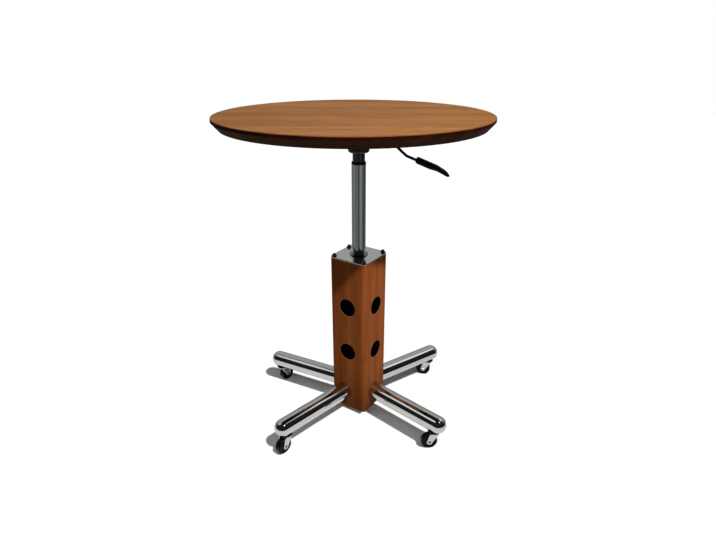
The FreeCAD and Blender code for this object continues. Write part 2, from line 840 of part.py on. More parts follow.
def acorn_nut(name):
    """A cap nut: a washer, a hexagon and a dome, with a blind bore from below."""
    hex_top = S.nut_washer_thick + S.nut_hex_height
    washer = cylinder(name + "_washer", S.nut_washer_radius, S.nut_washer_thick)
    hexagon = doc.addObject("Part::Prism", name + "_hexagon")
    hexagon.Polygon = 6
    bind(hexagon, "Circumradius", S.nut_hex_radius)
    bind(hexagon, "Height", hex_top)
    dome = doc.addObject("Part::Sphere", name + "_dome")
    bind(dome, "Radius", S.nut_dome_radius)
    place(dome, z=hex_top)
    solid = fuse(name + "_solid", [washer, hexagon, dome])
    bore = cylinder(name + "_bore", S.stud_radius, S.nut_bore_depth)
    return cut(name, solid, bore)


def make_column_fixings():
    """Studs in the post's end, each with a cap nut on the top plate."""
    nuts, studs = [], []
    stud_length = S.stud_depth + S.top_plate_thick + S.nut_bore_depth
    for u, v in nut_places():
        x, y = turned_point(pole, u, v, S.column_turn_angle)
        nuts.append(place(acorn_nut("acorn_nut"), x, y, top_plate_z, S.column_turn_angle))
        stud = cylinder("column_stud", S.stud_radius, stud_length)
        studs.append(place(stud, x, y, column_top_z - S.stud_depth))
    group("acorn_nuts", nuts)
    group("column_studs", studs)


def make_column():
    """The post: a square block bored for the sleeve, the hub, the legs, caps and fixings."""
    half = S.column_side / 2
    body = new_body("column_block")
    blank = new_sketch(body, "XY_Plane")
    draw_outline(blank, rectangle(-half, -half, half, half))
    pad(body, blank, S.column_height)
    fillet(body, S.column_corner, is_upright)
    bore = new_sketch(body, "XY_Plane", S.column_height)
    draw_circle(bore, ZERO, ZERO, S.column_bore)
    pocket(body, bore, S.column_height)
    recess = new_sketch(body, "XY_Plane")
    side = S.foot_plate_side / 2
    draw_outline(recess, rectangle(-side, -side, side, side))
    pocket(body, recess, S.foot_plate_thick, reverse=True)
    chamber = new_sketch(body, "XY_Plane")
    draw_circle(chamber, ZERO, ZERO, S.hub_radius + S.hole_gap)
    pocket(body, chamber, leg_z + S.hub_above_legs + S.hole_gap - foot_z, reverse=True)
    studs = new_sketch(body, "XY_Plane", S.column_height)
    for u, v in nut_places():
        draw_circle(studs, u, v, S.stud_radius)
    pocket(body, studs, S.stud_depth)
    screws = new_sketch(body, "XY_Plane")
    for u, v in squares_corners(S.foot_screw_spacing):
        draw_circle(screws, u, v, S.screw_radius)
    pocket(body, screws, S.foot_plate_thick + S.screw_length, reverse=True)
    caps = new_sketch(body, "YZ_Plane", half)
    for height in cap_heights():
        draw_circle(caps, ZERO, height - foot_z, S.cap_radius)
    first_face = pocket(body, caps, S.cap_bore_depth)
    faces = body.newObject("PartDesign::PolarPattern", "cap_bores")
    faces.Originals = [first_face]
    faces.Axis = (blank, ["N_Axis"])
    faces.Angle = 360
    faces.Occurrences = 4
    body.Tip = faces
    place(body, pole, z=foot_z, turn=S.column_turn_angle)
    holes = []
    for name in LEG_NAMES:
        hole = cylinder("leg_hole", S.leg_radius + S.hole_gap, S.column_side)
        holes.append(lay_along(hole, pole, ZERO, leg_z, leg_angle(name)))
    node(cut("column", body, fuse("leg_holes", holes)), "column")


def cap_heights():
    lower = foot_z + S.lower_cap_height
    return lower, lower + S.cap_spacing


def lay_along(feature, x, y, z, angle):
    """Lay an upright feature level, its axis pointing at an angle from +X."""
    spot = f"vector({as_size(x).text}; {as_size(y).text}; {as_size(z).text})"
    aim = f"rotation(vector(0; 0; 1); {angle.text}) * rotation(vector(0; 1; 0); 90)"
    feature.setExpression("Placement", f"placement({spot}; {aim})")
    return feature


def make_bore_caps():
    """Black discs pressed into the bores, their faces set back from the wood."""
    seat = S.column_side / 2 - S.cap_bore_depth
    faces = (("front_right", 0), ("back_right", 90), ("back_left", 180), ("front_left", 270))
    for face, quarter in faces:
        angle = S.column_turn_angle + quarter
        x, y = polar(pole, seat, angle)
        for level, height in zip(("lower", "upper"), cap_heights()):
            label = f"bore_cap_{face}_{level}"
            body = turned(label, [
                (ZERO, ZERO),
                (S.cap_thick, ZERO),
                (S.cap_thick, S.cap_radius - S.cap_round),
                (S.cap_thick - S.cap_round, S.cap_radius),
                (ZERO, S.cap_radius),
            ], "XZ_Plane", "H_Axis")
            node(place(body, x, y, height, angle), label)


# Foot of the post and the legs.

def leg_angle(name):
    return getattr(S, f"leg_{name}_angle")


def make_foot():
    """The plate let into the post's end, its screws, and the hub that stands on it."""
    places = squares_corners(S.foot_screw_spacing)
    plate = rounded_plate("bottom_plate", S.foot_plate_side, S.foot_plate_thick,
                          S.foot_plate_corner, None, places, S.screw_radius)
    node(place(plate, pole, z=foot_z, turn=S.column_turn_angle), "bottom_plate")
    screws = []
    for u, v in places:
        x, y = turned_point(pole, u, v, S.column_turn_angle)
        screws.append(place(pan_screw("bottom_screw", S.foot_plate_thick), x, y, foot_z))
    group("bottom_screws", screws)
    hub_height = leg_z + S.hub_above_legs - hub_z
    inner = S.hub_radius - S.hub_wall
    blank = place(ring("hub_blank", inner, S.hub_radius, hub_height), pole, z=hub_z)
    holes = []
    for name in LEG_NAMES:
        hole = cylinder("hub_hole", S.leg_bolt_radius, S.leg_bolt_end)
        holes.append(lay_along(hole, pole, ZERO, leg_z, leg_angle(name)))
    node(cut("leg_hub", blank, fuse("hub_holes", holes)), "leg_hub")


def round_ended(name, radius, length):
    """A bar along X from the pole's axis, with a half ball on its outer end."""
    bar = cylinder(name + "_bar", radius, length)
    bar.Placement = FreeCAD.Placement(Vector(), FreeCAD.Rotation(Vector(0, 1, 0), 90))
    ball = doc.addObject("Part::Sphere", name + "_ball")
    bind(ball, "Radius", radius)
    place(ball, length)
    return fuse(name, [bar, ball])


def make_leg(name):
    """A round-ended tube, coped to the hub, with an end plate and a boss for the castor."""
    shell = cut("leg_shell", round_ended("leg_outside", S.leg_radius, S.leg_reach),
                round_ended("leg_inside", S.leg_radius - S.leg_wall, S.leg_reach))
    grip = S.leg_radius - S.leg_wall / 2
    plate = cylinder("leg_plate", grip, S.leg_plate_thick)
    lay_along(plate, S.leg_plate_start, ZERO, ZERO, ZERO)
    boss = cylinder("leg_boss", S.boss_radius, S.leg_radius + grip)
    place(boss, castor_reach, z=-S.leg_radius)
    hub = cylinder("leg_cope", S.hub_radius, S.leg_radius * 2)
    place(hub, z=-S.leg_radius)
    stem = cylinder("leg_stem_hole", S.stem_radius, S.stem_length)
    place(stem, castor_reach, z=-S.leg_radius)
    bolt = lay_along(cylinder("leg_bolt_hole", S.leg_bolt_radius, S.leg_bolt_end),
                     ZERO, ZERO, ZERO, ZERO)
    solid = fuse("leg_solid", [shell, plate, boss])
    leg = cut("leg_" + name, solid, fuse("leg_voids", [hub, stem, bolt]))
    node(place(leg, pole, z=leg_z, turn=leg_angle(name)), "leg_" + name)


def make_legs():
    bolts = []
    seat = other_leg(S.hub_radius - S.hub_wall, S.leg_bolt_head_radius)
    for name in LEG_NAMES:
        make_leg(name)
        bolt = turned("leg_bolt", [
            (seat - S.leg_bolt_head, ZERO),
            (S.leg_bolt_end, ZERO),
            (S.leg_bolt_end, S.leg_bolt_radius),
            (seat, S.leg_bolt_radius),
            (seat, S.leg_bolt_head_radius),
            (seat - S.leg_bolt_head, S.leg_bolt_head_radius),
        ], "XZ_Plane", "H_Axis")
        bolts.append(place(bolt, pole, z=leg_z, turn=leg_angle(name)))
    group("leg_bolts", bolts)


# Castors. Each has its own frame: +X is where the wheel trails to, and the swivel's axis is Z.

def make_castor_stem(name, x, y, angle):
    """The bearing cup under the leg, the stem up into it and the riveted head below."""
    head_top = -(S.crown_thick + S.side_gap * 2)
    cup_foot = ZERO
    body = turned("castor_stem_" + name, [
        (ZERO, head_top - S.stem_head),
        (S.stem_head_radius, head_top - S.stem_head),
        (S.stem_head_radius, head_top),
        (S.stem_radius, head_top),
        (S.stem_radius, cup_foot),
        (S.cup_radius - S.cup_bevel, cup_foot),
        (S.cup_radius, S.cup_bevel),
        (S.cup_radius, S.cup_height),
        (S.stem_radius, S.cup_height),
        (S.stem_radius, S.cup_height + S.stem_length),
        (ZERO, S.cup_height + S.stem_length),
    ])
    node(place(body, x, y, cup_z, angle), "castor_stem_" + name)


def make_castor_fork(name, x, y, angle):
    """Two tapered cheeks under a round crown, cut from one blank as wide as the fork."""
    gap = S.wheel_width / 2 + S.fork_gap
    half = gap + S.fork_wall
    crown_top = crown_z + S.crown_thick
    body = new_body("castor_fork_" + name)
    cheeks = new_sketch(body, "XZ_Plane", -half)
    draw_outline(cheeks, [
        (-S.fork_back, crown_top),
        (S.castor_trail - S.fork_end_radius, axle_z),
        (S.castor_trail + S.fork_end_radius, axle_z),
        (S.fork_front, crown_top),
    ])
    pad(body, cheeks, half * 2)
    end = new_sketch(body, "XZ_Plane", -half)
    draw_circle(end, S.castor_trail, axle_z, S.fork_end_radius)
    pad(body, end, half * 2)
    crown = new_sketch(body, "XY_Plane", crown_z)
    draw_circle(crown, ZERO, ZERO, S.crown_radius)
    pad(body, crown, S.crown_thick)
    reach = S.castor_trail + S.fork_end_radius + S.crown_radius
    opening = new_sketch(body, "YZ_Plane", reach)
    draw_outline(opening, rectangle(-gap, ZERO, gap, crown_z))
    pocket(body, opening, reach * 2)
    axle = new_sketch(body, "XZ_Plane", half)
    draw_circle(axle, S.castor_trail, axle_z, S.axle_radius)
    pocket(body, axle, half * 2)
    stem = new_sketch(body, "XY_Plane", crown_top)
    draw_circle(stem, ZERO, ZERO, S.stem_radius + S.running_gap)
    pocket(body, stem, S.crown_thick)
    node(place(body, x, y, ZERO, angle), "castor_fork_" + name)


def make_castor_wheel(name, x, y, angle):
    """A solid wheel with rounded shoulders, dished sides and a hub, and its headed axle."""
    half = S.wheel_width / 2
    hub = half + S.wheel_hub_step
    bore = S.axle_radius + S.running_gap
    rim = S.wheel_radius - S.wheel_rim
    dish = half - S.wheel_dish
    wheel = turned("castor_wheel_" + name, [
        (-hub, bore), (-hub, S.wheel_hub_radius), (-dish, S.wheel_hub_radius),
        (-dish, rim), (-half, rim), (-half, S.wheel_radius),
        (half, S.wheel_radius), (half, rim), (dish, rim),
        (dish, S.wheel_hub_radius), (hub, S.wheel_hub_radius), (hub, bore),
    ], "YZ_Plane", "H_Axis")
    fillet(wheel, S.wheel_round, lambda edge: is_ring(edge, S.wheel_radius))
    wheel_x = x + S.castor_trail * cosine(angle)
    wheel_y = y + S.castor_trail * sine(angle)
    node(place(wheel, wheel_x, wheel_y, axle_z, angle), "castor_wheel_" + name)
    cheek = half + S.fork_gap + S.fork_wall
    tip = cheek + S.axle_head
    axle = turned("castor_axle_" + name, [
        (-tip, ZERO), (tip, ZERO), (tip, S.axle_radius), (cheek, S.axle_head_radius),
        (cheek, S.axle_radius), (-cheek, S.axle_radius), (-cheek, S.axle_head_radius),
        (-tip, S.axle_radius),
    ], "YZ_Plane", "H_Axis")
    node(place(axle, wheel_x, wheel_y, axle_z, angle), "castor_axle_" + name)


def make_castors():
    for name in LEG_NAMES:
        x, y = polar(pole, castor_reach, leg_angle(name))
        angle = getattr(S, f"trail_{name}_angle")
        make_castor_stem(name, x, y, angle)
        make_castor_fork(name, x, y, angle)
        make_castor_wheel(name, x, y, angle)


# Build, check and write.

def check():
    """Stop if a feature failed or a sub-part has no sound shape."""
    for feature in doc.Objects:
        if {"Invalid", "Error"} & set(feature.State):
            raise RuntimeError(f"{feature.Label} failed: {feature.State}")
    for feature in nodes:
        if feature.Shape.isNull() or not feature.Shape.isValid() or not feature.Shape.Solids:
            raise RuntimeError(f"{feature.Label} has no sound shape")


def write():
    os.makedirs("parts", exist_ok=True)
    for feature in nodes:
        feature.Shape.exportStep(f"parts/{feature.Label}.step")


make_tabletop()
make_mounting_plate()
make_lever_housing()
make_tube_socket()
make_lever_rod()
make_pivot_pin()
make_lever_grip()
make_release_pin()
make_pressure_tube()
make_piston_rod()
make_thrust_bearing()
make_sleeve()
make_column_top_plate()
make_column_fixings()
make_column()
make_bore_caps()
make_foot()
make_legs()
make_castors()
doc.recompute()
check()
write()
print(len(nodes), "sub-parts written")
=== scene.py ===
# %% [markdown]
# # A telescoping pedestal table
#
# A round wooden top stands on a gas spring that slides in a chrome sleeve. The sleeve is let into a
# square wooden post, and the post stands on four chrome tube legs with small castors. A lever under
# the top lets the spring go.
#
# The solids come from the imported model, and every new surface is laid over them in the same frame.
# Could the solids simply be shown? Their shapes are right, but the round ones are made of flat
# pieces, and a bare solid has no finish. So each round part gets a smooth surface of its own here,
# worked out from a few sizes, and every part gets a finish that changes over its surface.

import json

import bmesh
import bpy
import numpy as np
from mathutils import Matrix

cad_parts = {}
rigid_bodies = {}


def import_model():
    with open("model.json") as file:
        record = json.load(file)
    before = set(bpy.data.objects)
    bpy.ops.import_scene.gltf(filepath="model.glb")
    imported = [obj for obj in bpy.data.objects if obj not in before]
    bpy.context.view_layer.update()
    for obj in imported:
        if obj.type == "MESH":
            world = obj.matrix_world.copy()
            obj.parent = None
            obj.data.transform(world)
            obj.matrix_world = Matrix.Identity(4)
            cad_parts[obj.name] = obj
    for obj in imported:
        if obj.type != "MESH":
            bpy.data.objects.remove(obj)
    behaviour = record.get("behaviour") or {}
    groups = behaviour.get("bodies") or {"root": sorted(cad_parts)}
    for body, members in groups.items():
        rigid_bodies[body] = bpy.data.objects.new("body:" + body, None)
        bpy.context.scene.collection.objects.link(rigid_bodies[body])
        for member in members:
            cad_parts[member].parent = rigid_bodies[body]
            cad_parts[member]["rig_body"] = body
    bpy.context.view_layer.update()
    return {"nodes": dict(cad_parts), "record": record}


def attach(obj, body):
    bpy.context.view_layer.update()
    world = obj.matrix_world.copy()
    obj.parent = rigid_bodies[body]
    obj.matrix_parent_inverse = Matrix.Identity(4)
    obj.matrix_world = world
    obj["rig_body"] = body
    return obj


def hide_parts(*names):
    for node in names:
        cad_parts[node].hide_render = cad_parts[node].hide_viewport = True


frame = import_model()
NODES = frame["nodes"]
SLOTS = {part["node"]: part["material_slot"] for part in frame["record"]["subparts"]}

# %% [markdown]
# ## Sizes
#
# All shapes are worked out in millimetres, heights above the floor, and turned into metres when a
# mesh is made. The pole is the upright axis that the post, the sleeve and the spring share. It
# stands a little to the right of the top's middle.

# %% Sizes in millimetres and degrees
METRES = 0.001
POLE = 11.0
LEG_NAMES = ("front_left", "front_right", "back_right", "back_left")
LEG_ANGLES = dict(zip(LEG_NAMES, (225.0, 318.0, 34.0, 154.0)))
TRAIL_ANGLES = dict(zip(LEG_NAMES, (230.0, 184.0, 168.0, 45.0)))
POST_TURN = -33.6
FACE_TURNS = {"front_right": 0, "back_right": 90, "back_left": 180, "front_left": 270}
POST_HALF = 51.0
POST_FOOT, POST_TOP, PLATE_TOP = 21.0, 440.0, 443.0
LEG_HEIGHT, LEG_RADIUS, LEG_REACH, CASTOR_REACH = 70.0, 21.2, 255.0, 247.0
CAP_HEIGHTS = {"lower": 192.0, "upper": 317.7}
CAP_RADIUS = 22.5
print(f"post {2 * POST_HALF:.0f} mm square and {POST_TOP:.0f} mm to its top, legs {LEG_REACH:.0f} mm long")


def aimed(angle):
    """The level direction at an angle from +X: (cos a, sin a, 0)."""
    return np.array([np.cos(np.radians(angle)), np.sin(np.radians(angle)), 0.0])


def beside_pole(u, v, turn):
    """The point (u, v) of a frame that is turned about the pole:
    pole + u * aimed(turn) + v * aimed(turn + 90)."""
    return np.array([POLE, 0.0, 0.0]) + u * aimed(turn) + v * aimed(turn + 90)


# %% [markdown]
# ## Surfaces from numbers
#
# Every surface is a grid of points: rows along one parameter, columns along the other. Turning a
# profile about an axis gives tubes, discs and domes. Carrying a section along a line gives a bent
# rod. Pulling an outline in, level by level, gives a plate with soft edges. Blender could spin or
# sweep curves instead, but a formula says exactly where each point is, and it is quick.

# %% Grids, directions and rounded lines
def unit(vectors):
    """Vectors divided by their lengths."""
    vectors = np.asarray(vectors, float)
    return vectors / np.maximum(np.linalg.norm(vectors, axis=-1, keepdims=True), 1e-12)


def grid(points, around=True, along=False):
    """A (rows, columns, 3) array as a flat list of points, with the four-cornered faces between
    neighbours: (row, column), (row, column + 1), (row + 1, column + 1), (row + 1, column)."""
    rows, columns = points.shape[:2]
    row = np.arange(rows if along else rows - 1)[:, None]
    column = np.arange(columns if around else columns - 1)[None, :]
    next_row, next_column = (row + 1) % rows, (column + 1) % columns
    corners = [(row, column), (row, next_column), (next_row, next_column), (next_row, column)]
    faces = np.stack([r * columns + c for r, c in corners], -1)
    return points.reshape(-1, 3), faces.reshape(-1, 4)


def rounded(corners, steps=7):
    """A line through corners (x, y, radius) that turns in arcs. With a and b the directions from a
    corner to its neighbours and h half the angle between them, the arc's middle is
    corner + unit(a + b) * radius / sin h, and its points lie at radius from there, spread between
    the two spots where it meets the straight runs, at radius / tan h from the corner."""
    corners = np.asarray([tuple(c) + (0,) * (3 - len(c)) for c in corners], float)
    spot, radius = corners[:, :2], corners[:, 2:]
    before, after = unit(np.roll(spot, 1, 0) - spot), unit(np.roll(spot, -1, 0) - spot)
    cosine = np.linalg.norm(before + after, axis=1, keepdims=True) / 2
    sine = np.sqrt(np.maximum(1 - cosine**2, 1e-9))
    middle = spot + unit(before + after) * radius / sine
    reach = radius * cosine / sine
    first, last = spot + before * reach - middle, spot + after * reach - middle
    share = np.linspace(0, 1, steps)[None, :, None]
    spoke = unit(first[:, None] * (1 - share) + last[:, None] * share)
    return (middle[:, None] + spoke * radius[:, None]).reshape(-1, 2)


# %% Turned, carried and stacked surfaces
EDGE_STEPS, BAR_COUNT = 4, 28


def turned(profile, foot=(POLE, 0, 0), axis=(0, 0, 1), count=96, ring=False):
    """A surface of revolution. The point of a profile (r, h) at angle t is
    foot + h * axis + r * (cos t * side + sin t * other), with side and other square to the axis."""
    profile = np.asarray(profile, float)
    radius, height = profile[:, 0, None, None], profile[:, 1, None, None]
    axis = unit(axis)
    side = unit(np.cross(axis, (0, 1, 0) if abs(axis[1]) < 0.9 else (1, 0, 0)))
    other = np.cross(axis, side)
    t = np.linspace(0, 2 * np.pi, count, endpoint=False)[None, :, None]
    points = np.asarray(foot, float) + height * axis + radius * (np.cos(t) * side + np.sin(t) * other)
    return grid(points, along=ring)


def stacked(outline, levels, foot=(POLE, 0), turn=0.0):
    """An upright block. The outline at each level (inset, z) is outline(inset) turned about z,
    and the first and last outlines are closed by their middle points."""
    rings = [outline(inset) for inset, _ in levels]
    flat = np.stack([rings[0] * 0, *rings, rings[-1] * 0])
    heights = np.array([levels[0][1], *[z for _, z in levels], levels[-1][1]])
    x = foot[0] + flat[..., :1] * aimed(turn)[0] - flat[..., 1:] * aimed(turn)[1]
    y = foot[1] + flat[..., :1] * aimed(turn)[1] + flat[..., 1:] * aimed(turn)[0]
    z = np.broadcast_to(heights[:, None, None], x.shape)
    return grid(np.concatenate([x, y, z], -1))


def soft_levels(low, high, edge):
    """Levels (inset, z) of a block whose edges are quarter rounds: inset = edge * (1 - sin a),
    and z = low + edge * (1 - cos a), then the same upside down."""
    a = np.linspace(0, np.pi / 2, EDGE_STEPS)
    inset, rise = edge * (1 - np.sin(a)), edge * (1 - np.cos(a))
    return [*zip(inset, low + rise), *zip(inset[::-1], high - rise[::-1])]


def regular(sides, apothem, corner, steps=5):
    """An outline with equal sides: corners at apothem / cos(180 / sides) from the middle, rounded.
    It gives a function of the inset, which pulls the sides in and makes the corners sharper."""
    angles = (np.arange(sides) + 0.5) * 2 * np.pi / sides

    def outline(inset):
        reach = (apothem - inset) / np.cos(np.pi / sides)
        radius = np.full(sides, max(corner - inset, 0.0))
        return rounded(np.column_stack([reach * np.cos(angles), reach * np.sin(angles), radius]), steps)

    return outline


def carried(path, radius):
    """A round bar along a line in the XZ plane. At each path point p with direction d, the points
    are p + r * (cos t * Y + sin t * d x Y)."""
    ahead = unit(np.gradient(path, axis=0))
    side = np.array([0.0, 1.0, 0.0])
    t = np.linspace(0, 2 * np.pi, BAR_COUNT, endpoint=False)[None, :, None]
    spokes = np.cos(t) * side + np.sin(t) * np.cross(ahead, side)[:, None]
    return grid(path[:, None] + radius[:, None, None] * spokes)


# %% [markdown]
# ## From grids to pieces
#
# A piece may hold several grids, each with its own finish. Each grid could be an object of its own,
# but a real part is one thing, and moves as one. Doubled points at seams and poles are merged first,
# then all faces are turned outwards. Large flat faces decide how the corners next to them are shaded,
# so flats stay flat and rounds stay round. Edges that turn by more than SHARP_ABOVE degrees stay sharp.

# %% One mesh piece from its grids
SHARP_ABOVE = 38.0
SAME_POINT, NO_LENGTH = 2e-6, 1e-6


def piece(name, grids, stands_for=None, body=None):
    """Joins grids [(points, faces), finish] into one object, which rides on the body of the solid
    that it stands for."""
    starts = np.cumsum([0] + [len(points) for (points, _), _ in grids])
    points = np.concatenate([points for (points, _), _ in grids]) * METRES
    faces = np.concatenate([f + start for ((_, f), _), start in zip(grids, starts)])
    finishes = list(dict.fromkeys(finish for _, finish in grids))
    owner = np.concatenate([np.full(len(f), finishes.index(finish)) for (_, f), finish in grids])
    mesh = bpy.data.meshes.new(name)
    mesh.from_pydata(points.tolist(), [], faces.tolist())
    mesh.polygons.foreach_set("material_index", owner.astype(np.int32))
    tidy = bmesh.new()
    tidy.from_mesh(mesh)
    bmesh.ops.remove_doubles(tidy, verts=tidy.verts, dist=SAME_POINT)
    bmesh.ops.dissolve_degenerate(tidy, edges=tidy.edges, dist=NO_LENGTH)
    bmesh.ops.recalc_face_normals(tidy, faces=tidy.faces)
    tidy.to_mesh(mesh)
    tidy.free()
    mesh.shade_smooth()
    mesh.set_sharp_from_angle(angle=np.radians(SHARP_ABOVE))
    made = bpy.data.objects.new(name, mesh)
    bpy.context.scene.collection.objects.link(made)
    for finish in finishes:
        mesh.materials.append(FINISHES[finish])
    shading = made.modifiers.new("flat faces lead", "WEIGHTED_NORMAL")
    shading.keep_sharp = True
    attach(made, body or NODES[stands_for]["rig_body"])
    if stands_for:
        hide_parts(stands_for)
    print(f"{name}: {len(mesh.polygons)} faces")
    return made


# %% [markdown]
# ## Effects for the finishes
#
# Wood figure, marks on polished metal and the grain of a moulded part are each built once as a node
# group and used by several finishes. A picture of wood would be quicker, but a pattern that is
# worked out in space runs through the edges as it does in real timber.

# %% Small helpers for shader nodes
def add(tree, kind, inputs=None, **settings):
    """A node of a kind, with its inputs set or linked and its settings given."""
    made = tree.nodes.new("ShaderNode" + kind)
    for name, value in settings.items():
        setattr(made, name, value)
    for socket, value in (inputs or {}).items():
        if isinstance(value, bpy.types.NodeSocket):
            tree.links.new(value, made.inputs[socket])
        else:
            made.inputs[socket].default_value = value
    return made


def calc(tree, operation, first, second):
    """The result of a Math node on two values or sockets."""
    return add(tree, "Math", {0: first, 1: second}, operation=operation).outputs[0]


def between(tree, value, low, high, to_low=0.0, to_high=1.0):
    """A value spread from low..high to to_low..to_high, and held there."""
    ranges = {"Value": value, "From Min": low, "From Max": high, "To Min": to_low, "To Max": to_high}
    return add(tree, "MapRange", ranges).outputs[0]


def stretched(tree, vector, factors):
    """A vector, or a colour, times a factor for each of its parts."""
    return add(tree, "VectorMath", {0: vector, 1: factors}, operation="MULTIPLY").outputs[0]


def noise(tree, vector, scale, detail=2.0, roughness=0.5, distortion=0.0):
    """Soft random patches, as a value about 0.5."""
    settings = {"Vector": vector, "Scale": scale, "Detail": detail, "Roughness": roughness}
    return add(tree, "TexNoise", {**settings, "Distortion": distortion}).outputs[0]


def new_group(name, inputs, outputs):
    """A shader node group with named inputs and outputs."""
    tree = bpy.data.node_groups.new(name, "ShaderNodeTree")
    for label, kind in inputs.items():
        tree.interface.new_socket(label, in_out="INPUT", socket_type="NodeSocket" + kind)
    for label in outputs:
        tree.interface.new_socket(label, in_out="OUTPUT", socket_type="NodeSocketFloat")
    return tree, tree.nodes.new("NodeGroupInput").outputs, tree.nodes.new("NodeGroupOutput").inputs


def use_group(tree, group, inputs):
    """The outputs of a group that is placed in a material."""
    placed = tree.nodes.new("ShaderNodeGroup")
    placed.node_tree = group
    for name, value in inputs.items():
        if isinstance(value, bpy.types.NodeSocket):
            tree.links.new(value, placed.inputs[name])
        else:
            placed.inputs[name].default_value = value
    return placed.outputs


# %% Wood figure: growth bands, fine lines and pores along X
CLOUD_STRETCH, STREAK_STRETCH, BAND_STRETCH = (3.2, 8.0, 8.0), (1.1, 17.0, 17.0), (0.5, 1.0, 1.0)
LINE_STRETCH, FLECK_STRETCH = (5.0, 210.0, 210.0), (38.0, 900.0, 900.0)
STREAK_SHARE, BAND_SHARE, LINE_SHARE, BAND_SCALE = 0.55, 0.12, 0.33, 11.0
CLOUD_RANGE, PORE_RANGE = (0.4, 0.66), (0.63, 0.72)


def make_wood_figure():
    """Tone mixes wide streaks, wavy growth bands and fine lines; Cloud is where the timber is redder
    and darker; Pores are short dark flecks; Relief is how far the lines and pores stand out."""
    tree, given, out = new_group(
        "wood figure", {"Vector": "Vector", "Waviness": "Float"}, ("Tone", "Cloud", "Pores", "Relief"))
    vector = given["Vector"]
    clouds = noise(tree, stretched(tree, vector, CLOUD_STRETCH), 1.0, 4.0, 0.6, 0.8)
    tree.links.new(between(tree, clouds, *CLOUD_RANGE), out["Cloud"])
    streaks = noise(tree, stretched(tree, vector, STREAK_STRETCH), 1.0, 3.0, 0.55, 0.4)
    bands = add(tree, "TexWave", {
        "Vector": stretched(tree, vector, BAND_STRETCH), "Scale": BAND_SCALE,
        "Distortion": given["Waviness"], "Detail": 3.0, "Detail Scale": 1.6,
    }, bands_direction="Y").outputs[1]
    lines = noise(tree, stretched(tree, vector, LINE_STRETCH), 1.0, 2.0)
    wide, curved = (calc(tree, "MULTIPLY", part, share)
                    for part, share in ((streaks, STREAK_SHARE), (bands, BAND_SHARE)))
    fine = calc(tree, "MULTIPLY", lines, LINE_SHARE)
    tone = calc(tree, "ADD", calc(tree, "ADD", wide, curved), fine)
    flecks = noise(tree, stretched(tree, vector, FLECK_STRETCH), 1.0, 1.0)
    pores = between(tree, flecks, *PORE_RANGE)
    tree.links.new(tone, out["Tone"])
    tree.links.new(pores, out["Pores"])
    tree.links.new(calc(tree, "SUBTRACT", lines, pores), out["Relief"])
    return tree


WOOD_FIGURE = make_wood_figure()
print("wood figure:", len(WOOD_FIGURE.nodes), "nodes")


# %% Marks on metal, and the grain of a moulded or painted surface
HAIRLINE_STRETCH, HAIRLINE_RANGE = (60.0, 900.0, 130.0), (0.3, 0.7)
PATCH_SCALE, PATCH_RANGE = 14.0, (0.38, 0.7)
DUST_SCALE, DUST_RANGE, LOOKING_UP = 30.0, (0.42, 0.75), (-0.2, 1.0, 0.15)


def make_metal_marks():
    """Roughness runs in patches from Bright to Dull, where hands and cloths have dulled the polish;
    Hairlines are the finest scratches."""
    given_kinds = {"Vector": "Vector", "Dull": "Float", "Bright": "Float"}
    tree, given, out = new_group("metal marks", given_kinds, ("Roughness", "Hairlines"))
    patches = between(tree, noise(tree, given["Vector"], PATCH_SCALE, 4.0, 0.6, 0.3), *PATCH_RANGE)
    lines = noise(tree, stretched(tree, given["Vector"], HAIRLINE_STRETCH), 1.0, 1.0)
    span = calc(tree, "SUBTRACT", given["Dull"], given["Bright"])
    rough = calc(tree, "ADD", given["Bright"], calc(tree, "MULTIPLY", patches, span))
    tree.links.new(rough, out["Roughness"])
    tree.links.new(between(tree, lines, *HAIRLINE_RANGE), out["Hairlines"])
    return tree


def make_fine_grain():
    """Grain is the fine stipple of a mould or of sprayed paint; Dust gathers in soft patches, more
    of it where the surface looks up."""
    tree, given, out = new_group(
        "fine grain", {"Vector": "Vector", "Scale": "Float"}, ("Grain", "Dust"))
    stipple = add(tree, "TexVoronoi", {"Vector": given["Vector"], "Scale": given["Scale"]}).outputs[0]
    soft = noise(tree, given["Vector"], DUST_SCALE, 5.0, 0.65)
    normal = add(tree, "NewGeometry").outputs["Normal"]
    up = add(tree, "SeparateXYZ", {0: normal}).outputs[2]
    dust = calc(tree, "MULTIPLY", between(tree, soft, *DUST_RANGE), between(tree, up, *LOOKING_UP))
    tree.links.new(stipple, out["Grain"])
    tree.links.new(dust, out["Dust"])
    return tree


METAL_MARKS, FINE_GRAIN = make_metal_marks(), make_fine_grain()
print("metal marks:", len(METAL_MARKS.nodes), "nodes, fine grain:", len(FINE_GRAIN.nodes))

# %% [markdown]
# ## Finishes
#
# The table is made of three kinds of stuff: lacquered timber, polished metal, and black paint,
# plastic and rubber. Each part's finish could be set up by hand. A function for each kind is shorter,
# and it keeps all timber, all metal and all plastic alike, apart from their own colours and gloss.

# %% Small helpers for finishes
FINISHES = {}


def new_finish(name):
    """A material with its shader, and the object coordinates that its pattern is laid in."""
    made = bpy.data.materials.new(name)
    made.use_nodes = True
    tree = made.node_tree
    shader = tree.nodes["Principled BSDF"]
    FINISHES[name] = made
    return tree, shader, add(tree, "TexCoord").outputs["Object"]


def set_all(shader, values):
    """Plain numbers and colours, set on the shader's own sockets."""
    for name, value in values.items():
        shader.inputs[name].default_value = value


def mix_colours(tree, share, first, second):
    """A colour between two, by a value that changes over the surface."""
    mixed = add(tree, "Mix", {0: share, 6: first, 7: second}, data_type="RGBA")
    return mixed.outputs[2]


